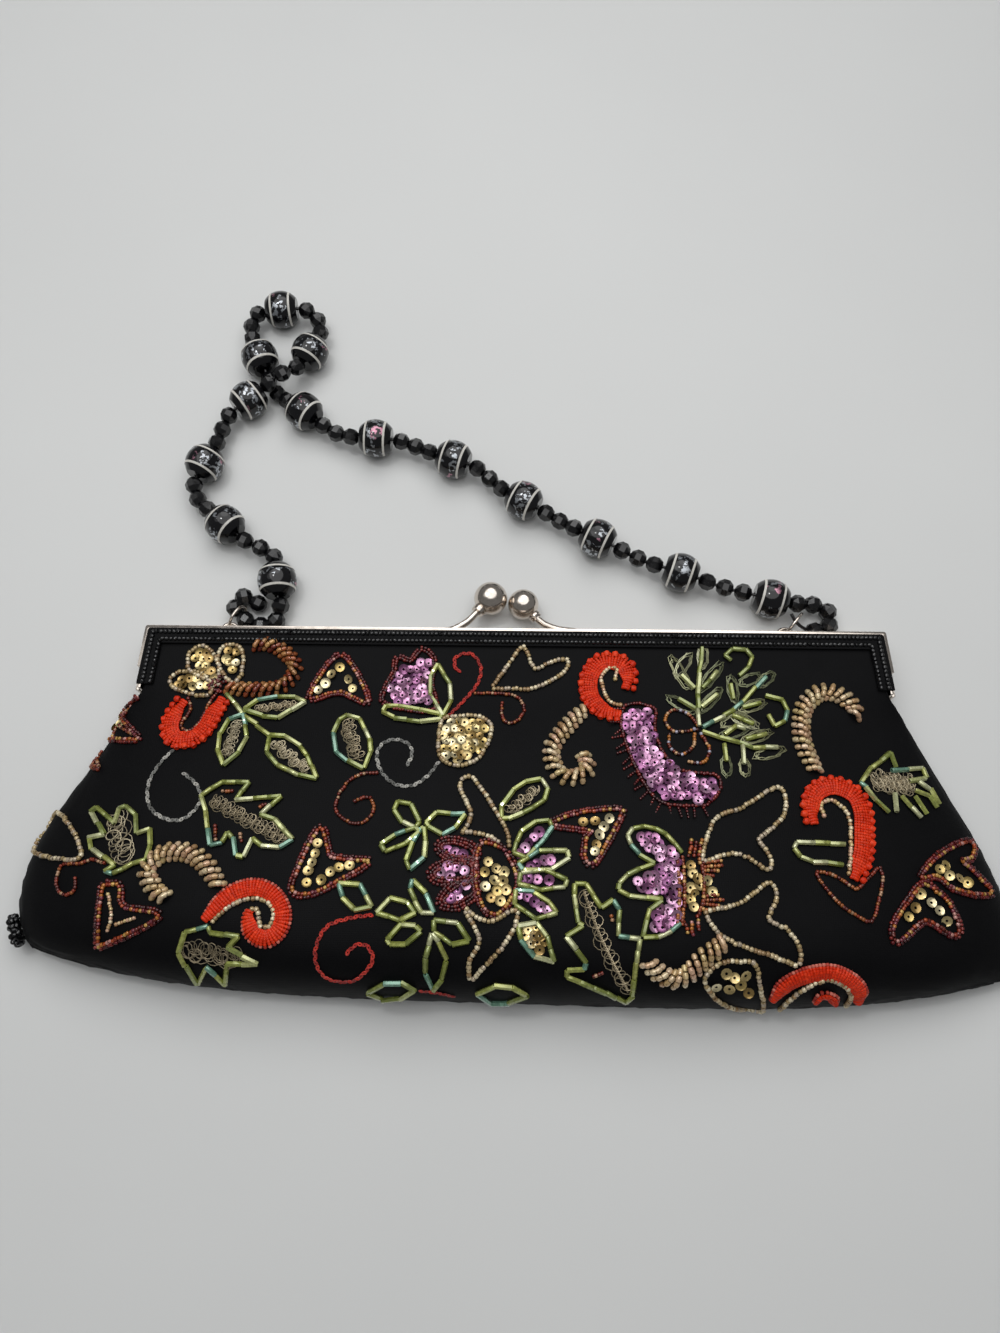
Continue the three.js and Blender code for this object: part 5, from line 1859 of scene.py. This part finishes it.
def sew_spikes(sewing, bead, tints, chance):
    """Short strings of tiny beads that stand out all along the crescent."""
    way = Way(CRESCENT_OUTER)
    places, ahead, up = way.at(way.even_stops(SPIKE_PITCH))
    out = np.cross(up, ahead) * way.outer_side() + SPIKE_LEAN * ahead
    out = unit(out + chance.normal(scale=SPIKE_SPREAD, size=out.shape))
    for step in range(1, SPIKE_BEADS + 1):
        beads = places + out * step * SPIKE_BEAD + up * SPIKE_BEAD / 2
        sizes = np.full((len(places), 3), SPIKE_BEAD)
        sewing.place(bead, beads, out, up, sizes, tints_of(tints, len(places), chance))


def sew_eye(sewing, bead, tints, chance):
    """The heaped dark beads at the heart of the gold flower."""
    turns = chance.uniform(0, 2 * np.pi, EYE_BEADS)
    shares = np.sqrt(chance.uniform(0, 1, EYE_BEADS))[:, None]
    ways_out = np.column_stack([np.cos(turns), np.sin(turns)])
    places, up = on_cloth(np.array(FLOWER_EYE) + FLOWER_EYE_REACH / pixel_size() * shares * ways_out)
    heap = (1 - shares ** 2) * chance.uniform(0, EYE_HEAP, (EYE_BEADS, 1))
    places = places + up * FINE_BEAD * (BEAD_LIFT + heap)
    along = unit(np.cross(up, chance.normal(size=(EYE_BEADS, 3))))
    sizes = np.full((EYE_BEADS, 3), FINE_BEAD)
    sewing.place(bead, places, along, up, sizes, tints_of(tints, EYE_BEADS, chance))


class PURSE_OT_outlines(bpy.types.Operator):
    """Sew the seed bead outlines of the flowers, leaves and scrolls"""

    bl_idname = "purse.outlines"
    bl_label = "Seed bead outlines"

    def execute(self, context):
        beadwork = context.scene.purse.beadwork
        chance = np.random.default_rng(beadwork.seed)
        glass = lined_glass()
        bead = seed_bead()
        sewing = Sewing()
        sew_outlines(sewing, bead, TAN_OUTLINES, beadwork, chance)
        finish_piece(sewing.piece("tan_bead_outlines"), "embroidery_glass", [], glass)
        sewing = Sewing()
        sew_outlines(sewing, bead, DARK_OUTLINES, beadwork, chance)
        sew_spikes(sewing, bead, beadwork.burgundy, chance)
        sew_eye(sewing, bead, beadwork.burgundy, chance)
        finish_piece(sewing.piece("dark_bead_outlines"), "embroidery_glass", [], glass)
        return {"FINISHED"}


# Ropes and red bands

GOLD_ROPE_WIDTHS = (5.2 * MM, 5.5 * MM, 5.4 * MM, 5.6 * MM)
BRONZE_ROPE_WIDTH = 4.8 * MM
BRONZE_ROPE_BEAD = 1.55 * MM
BRONZE_ROPE_PITCH = 2.05 * MM
BRONZE_SLANT = 0.75
GOLD_SLANT = 0.5
ROPE_SPACING = 0.7
ROPE_STRETCH = 1.35
ROPE_TAPER = 0.3
ROPE_ARCH = 1.3 * MM
COARSE_WIDTH = 5.4 * MM
COARSE_BEAD = 1.1 * MM
COARSE_ARCH = 0.4 * MM
SCALLOP_BEAD = 2.1 * MM
RIDGE_WIDTHS = (4.9 * MM, 4.9 * MM, 3.3 * MM)
RIDGE_BEAD = 1.1 * MM
RIDGE_ARCH = 0.5 * MM
RIDGE_TAPER = 0.7
RED_PITCH_SHARE = 0.72
RED_SPACING = 0.62


class PURSE_OT_ropes(bpy.types.Operator):
    """Sew the gold and bronze ropes of slanted bead rows"""

    bl_idname = "purse.ropes"
    bl_label = "Bead ropes"

    def execute(self, context):
        beadwork = context.scene.purse.beadwork
        chance = np.random.default_rng(beadwork.seed)
        sewing = Sewing()
        bead = seed_bead()
        for line, width in zip(GOLD_ROPES, GOLD_ROPE_WIDTHS):
            sew_rows(sewing, bead, Way(line), width, beadwork.rope_bead, beadwork.rope_pitch, ROPE_SPACING,
                     GOLD_SLANT, ROPE_ARCH, beadwork.gold, chance, ROPE_TAPER, ROPE_STRETCH)
        sew_rows(sewing, bead, Way(BRONZE_ROPE), BRONZE_ROPE_WIDTH, BRONZE_ROPE_BEAD, BRONZE_ROPE_PITCH,
                 ROPE_SPACING, BRONZE_SLANT, ROPE_ARCH, beadwork.orange, chance, ROPE_TAPER, ROPE_STRETCH)
        finish_piece(sewing.piece("bead_ropes"), "embroidery_glass", [], lined_rope_glass())
        return {"FINISHED"}


class PURSE_OT_red_bands(bpy.types.Operator):
    """Sew the red bands of the paisleys"""

    bl_idname = "purse.red_bands"
    bl_label = "Red bead bands"

    def execute(self, context):
        beadwork = context.scene.purse.beadwork
        chance = np.random.default_rng(beadwork.seed)
        glass = opaque_red_glass()
        sewing = Sewing()
        bead = seed_bead()
        for line in RED_BANDS_COARSE:
            way = Way(line)
            sew_rows(sewing, bead, way, COARSE_WIDTH, COARSE_BEAD, COARSE_BEAD * RED_PITCH_SHARE,
                     RED_SPACING, 0, COARSE_ARCH, beadwork.red, chance)
            sew_scallops(sewing, bead, way, COARSE_WIDTH - COARSE_BEAD, SCALLOP_BEAD, beadwork.red, chance)
        finish_piece(sewing.piece("red_scalloped_bands"), "embroidery_glass", [], glass)
        sewing = Sewing()
        # The outermost row of each fine band takes paler tints that paint the glints along its edge.
        for line, width in zip(RED_BANDS_FINE, RIDGE_WIDTHS):
            sew_rows(sewing, bead, Way(line), width, RIDGE_BEAD, RIDGE_BEAD * RED_PITCH_SHARE, RED_SPACING,
                     0, RIDGE_ARCH, beadwork.red, chance, RIDGE_TAPER, edge=beadwork.red_edge_glint)
        finish_piece(sewing.piece("red_ridged_bands"), "embroidery_glass", [], glass)
        return {"FINISHED"}


# Lime leaves, sequins and chain stitch

COIL_PASSES = 3
# Reach and sway of a leaf's coil, as shares of half the leaf's width, and of the coils along ribs
LEAF_COIL_SHARE = 0.4
LEAF_SWAY_SHARE = 0.3
RIB_COIL = 1.0 * MM
RIB_SWAY = 1.0 * MM
LOOPED_RIB_COILS = (1.6 * MM, 0.24 * MM)
CHAIN_PITCH = 1.25 * MM
CHAIN_WIDTH = 1.1 * MM
CHAIN_LEAN = 0.4
CHAIN_LIFT = 0.3
CHAIN_TIP = 0.25
CHAIN_SPREAD = (0.92, 1.08)


class PURSE_OT_lime_leaves(bpy.types.Operator):
    """Sew the lime bugle leaves and stems and the wire coiled in them"""

    bl_idname = "purse.lime_leaves"
    bl_label = "Lime leaves"

    def execute(self, context):
        beadwork = context.scene.purse.beadwork
        chance = np.random.default_rng(beadwork.seed)
        sewing = Sewing()
        bugle = bugle_tube()
        for outline in (*LIME_PETALS, *SEPALS, *COILED_LEAVES, GILT_LEAF, *PLAIN_LEAVES):
            sew_bugles(sewing, bugle, outline, True, beadwork, chance)
        for line in (*LIME_STEMS, *RIGHT_LEAF, *FERN, *PINK_PETALS):
            sew_bugles(sewing, bugle, line, False, beadwork, chance)
        finish_piece(sewing.piece("lime_bugles"), "embroidery_glass", [], lined_bugle_glass())
        sewing = Sewing()
        for outline in COILED_LEAVES:
            line, narrow = long_axis(outline)
            half = narrow * pixel_size()
            for _ in range(COIL_PASSES):
                coil_wire(sewing, line, half * LEAF_COIL_SHARE, half * LEAF_SWAY_SHARE, beadwork, chance)
        for line in LEAF_RIBS:
            for _ in range(COIL_PASSES):
                coil_wire(sewing, line, RIB_COIL, RIB_SWAY, beadwork, chance)
        for reach in LOOPED_RIB_COILS:
            coil_wire(sewing, LOOPED_RIB, reach, 0, beadwork, chance)
        for line in FERN_WIRES:
            loop_wire(sewing, line, beadwork, chance)
        finish_piece(sewing.piece("leaf_wire"), "embroidery_thread", [], purl_wire())
        return {"FINISHED"}


class PURSE_OT_sequins(bpy.types.Operator):
    """Sew the gilt and pink sequins"""

    bl_idname = "purse.sequins"
    bl_label = "Sequins"

    def execute(self, context):
        beadwork = context.scene.purse.beadwork
        chance = np.random.default_rng(beadwork.seed)
        foil = sequin_foil()
        cup = sequin_cup()
        crescent = CRESCENT_OUTER + CRESCENT_INNER
        batches = (
            ("gilt_sequins", beadwork.gilt, (*GOLD_PETALS, SHIELD_BUD, GILT_LEAF),
             (*ARROWHEAD_SEQUINS, *CENTRE_SEQUINS, *CUP_SEQUINS, *PAISLEY_SEQUINS)),
            ("pink_sequins", beadwork.pink, (TULIP_EDGE, crescent, PINK_FLOWER_FILL), PETAL_SEQUINS),
        )
        for name, tints, outlines, single_spots in batches:
            sewing = Sewing()
            for outline in outlines:
                sew_sequins(sewing, cup, sequin_spots(outline, chance), beadwork.sequin, tints, chance)
            sew_sequins(sewing, cup, single_spots, beadwork.sequin, tints, chance)
            finish_piece(sewing.piece(name), "embroidery_sequins", [], foil)
        return {"FINISHED"}


class PURSE_OT_chains(bpy.types.Operator):
    """Sew the silver and red chain stitch scrolls"""

    bl_idname = "purse.chains"
    bl_label = "Chain stitch"

    def execute(self, context):
        beadwork = context.scene.purse.beadwork
        chance = np.random.default_rng(beadwork.seed)
        sewing = Sewing()
        loop = chain_loop()
        lines = [(line, beadwork.silver_thread) for line in SILVER_CHAINS]
        lines += [(line, beadwork.red_thread) for line in RED_CHAINS]
        for line, tints in lines:
            way = Way(line)
            places, ahead, up = way.at(way.even_stops(CHAIN_PITCH))
            count = len(places)
            lean = np.where(np.arange(count) % 2, 1, -1)[:, None] * CHAIN_LEAN
            along = unit(ahead + np.cross(up, ahead) * lean)
            places = places + up * CHAIN_WIDTH * CHAIN_LIFT
            sizes = CHAIN_WIDTH * chance.uniform(*CHAIN_SPREAD, (count, 1)) * np.ones(3)
            tipped = unit(up + CHAIN_TIP * ahead)
            sewing.place(loop, places, along, tipped, sizes, tints_of(tints, count, chance))
        finish_piece(sewing.piece("chain_stitch"), "embroidery_thread", [], metallic_thread())
        return {"FINISHED"}


# Stage, panel and main

FLOOR_SIZE = 6
WORLD_TINT = "F0F1F2"
WORLD_STRENGTH = 0.2
# Name, kind, place in metres, size (an angle for a sun, metres for an area) and power
LIGHTS = (
    ("window_light", "SUN", (0.1, 0.95, 1.15), math.radians(34), 0.25),
    ("back_light", "AREA", (0.0, 0.18, 0.5), 0.78, 2.3),
    ("fill_light", "AREA", (-0.6, 0.2, 0.9), 0.6, 0.5),
    ("lamp_light", "AREA", (-0.25, 0.25, 1.0), 0.12, 1.0),
)
LIGHT_SIZE_NAMES = {"SUN": "angle", "AREA": "size"}
NEAREST_SEEN = 10 * MM


class PURSE_OT_stage(bpy.types.Operator):
    """Make the pale floor, the soft light and the camera"""

    bl_idname = "purse.stage"
    bl_label = "Stage"

    def execute(self, context):
        scene = context.scene
        floor = new_piece("floor", bpy.ops.mesh.primitive_plane_add, size=FLOOR_SIZE,
                          location=(0, 0, CAD_BOX[0][2]))
        floor.data.materials.append(floor_paper())
        scene.world = bpy.data.worlds.new("studio")
        scene.world.use_nodes = True
        background = scene.world.node_tree.nodes["Background"]
        background.inputs["Color"].default_value = (*linear(WORLD_TINT), 1)
        background.inputs["Strength"].default_value = WORLD_STRENGTH
        for name, kind, place, size, power in LIGHTS:
            bpy.ops.object.light_add(type=kind, location=place)
            light = context.object
            light.name = name
            setattr(light.data, LIGHT_SIZE_NAMES[kind], size)
            if kind == "AREA":
                light.data.shape = "DISK"
            light.data.energy = power
            light.rotation_euler = Vector(place).to_track_quat("Z", "Y").to_euler()
        bpy.ops.object.camera_add()
        camera = context.object
        camera.name = "camera"
        right, up, forward = camera_axes()
        turn = Matrix((right, up, -forward)).transposed().to_4x4()
        camera.matrix_world = Matrix.Translation(CAMERA_PLACE) @ turn
        camera.data.sensor_fit = "VERTICAL"
        camera.data.sensor_height = SENSOR
        camera.data.lens = SENSOR * FOCAL_PIXELS / PHOTO_HEIGHT
        camera.data.clip_start = NEAREST_SEEN
        scene.camera = camera
        scene.view_settings.view_transform = "Standard"
        return {"FINISHED"}


OPERATORS = (
    PURSE_OT_bag, PURSE_OT_corner_knots, PURSE_OT_frame, PURSE_OT_clasp, PURSE_OT_rings, PURSE_OT_trim,
    PURSE_OT_large_beads, PURSE_OT_bead_runs, PURSE_OT_outlines, PURSE_OT_ropes, PURSE_OT_red_bands,
    PURSE_OT_lime_leaves, PURSE_OT_sequins, PURSE_OT_chains, PURSE_OT_stage,
)


class PURSE_PT_panel(bpy.types.Panel):
    """Lists the steps that make the purse"""

    bl_idname = "PURSE_PT_panel"
    bl_label = "Beaded purse"
    bl_space_type = "VIEW_3D"
    bl_region_type = "UI"
    bl_category = "Purse"

    def draw(self, context):
        for operator in OPERATORS:
            self.layout.operator(operator.bl_idname)


CLASSES = (
    PurseClothSettings, PurseMetalSettings, PurseStrapSettings, PurseBeadworkSettings, PurseSettings,
    *OPERATORS, PURSE_PT_panel,
)


def register():
    for kind in CLASSES:
        bpy.utils.register_class(kind)
    bpy.types.Scene.purse = PointerProperty(type=PurseSettings)


def unregister():
    del bpy.types.Scene.purse
    for kind in reversed(CLASSES):
        bpy.utils.unregister_class(kind)


def main():
    register()
    bpy.ops.purse.bag()
    bpy.ops.purse.corner_knots()
    bpy.ops.purse.frame()
    bpy.ops.purse.clasp()
    bpy.ops.purse.rings()
    bpy.ops.purse.trim()
    bpy.ops.purse.large_beads()
    bpy.ops.purse.bead_runs()
    bpy.ops.purse.outlines()
    bpy.ops.purse.ropes()
    bpy.ops.purse.red_bands()
    bpy.ops.purse.lime_leaves()
    bpy.ops.purse.sequins()
    bpy.ops.purse.chains()
    bpy.ops.purse.stage()


if __name__ == "__main__":
    main()
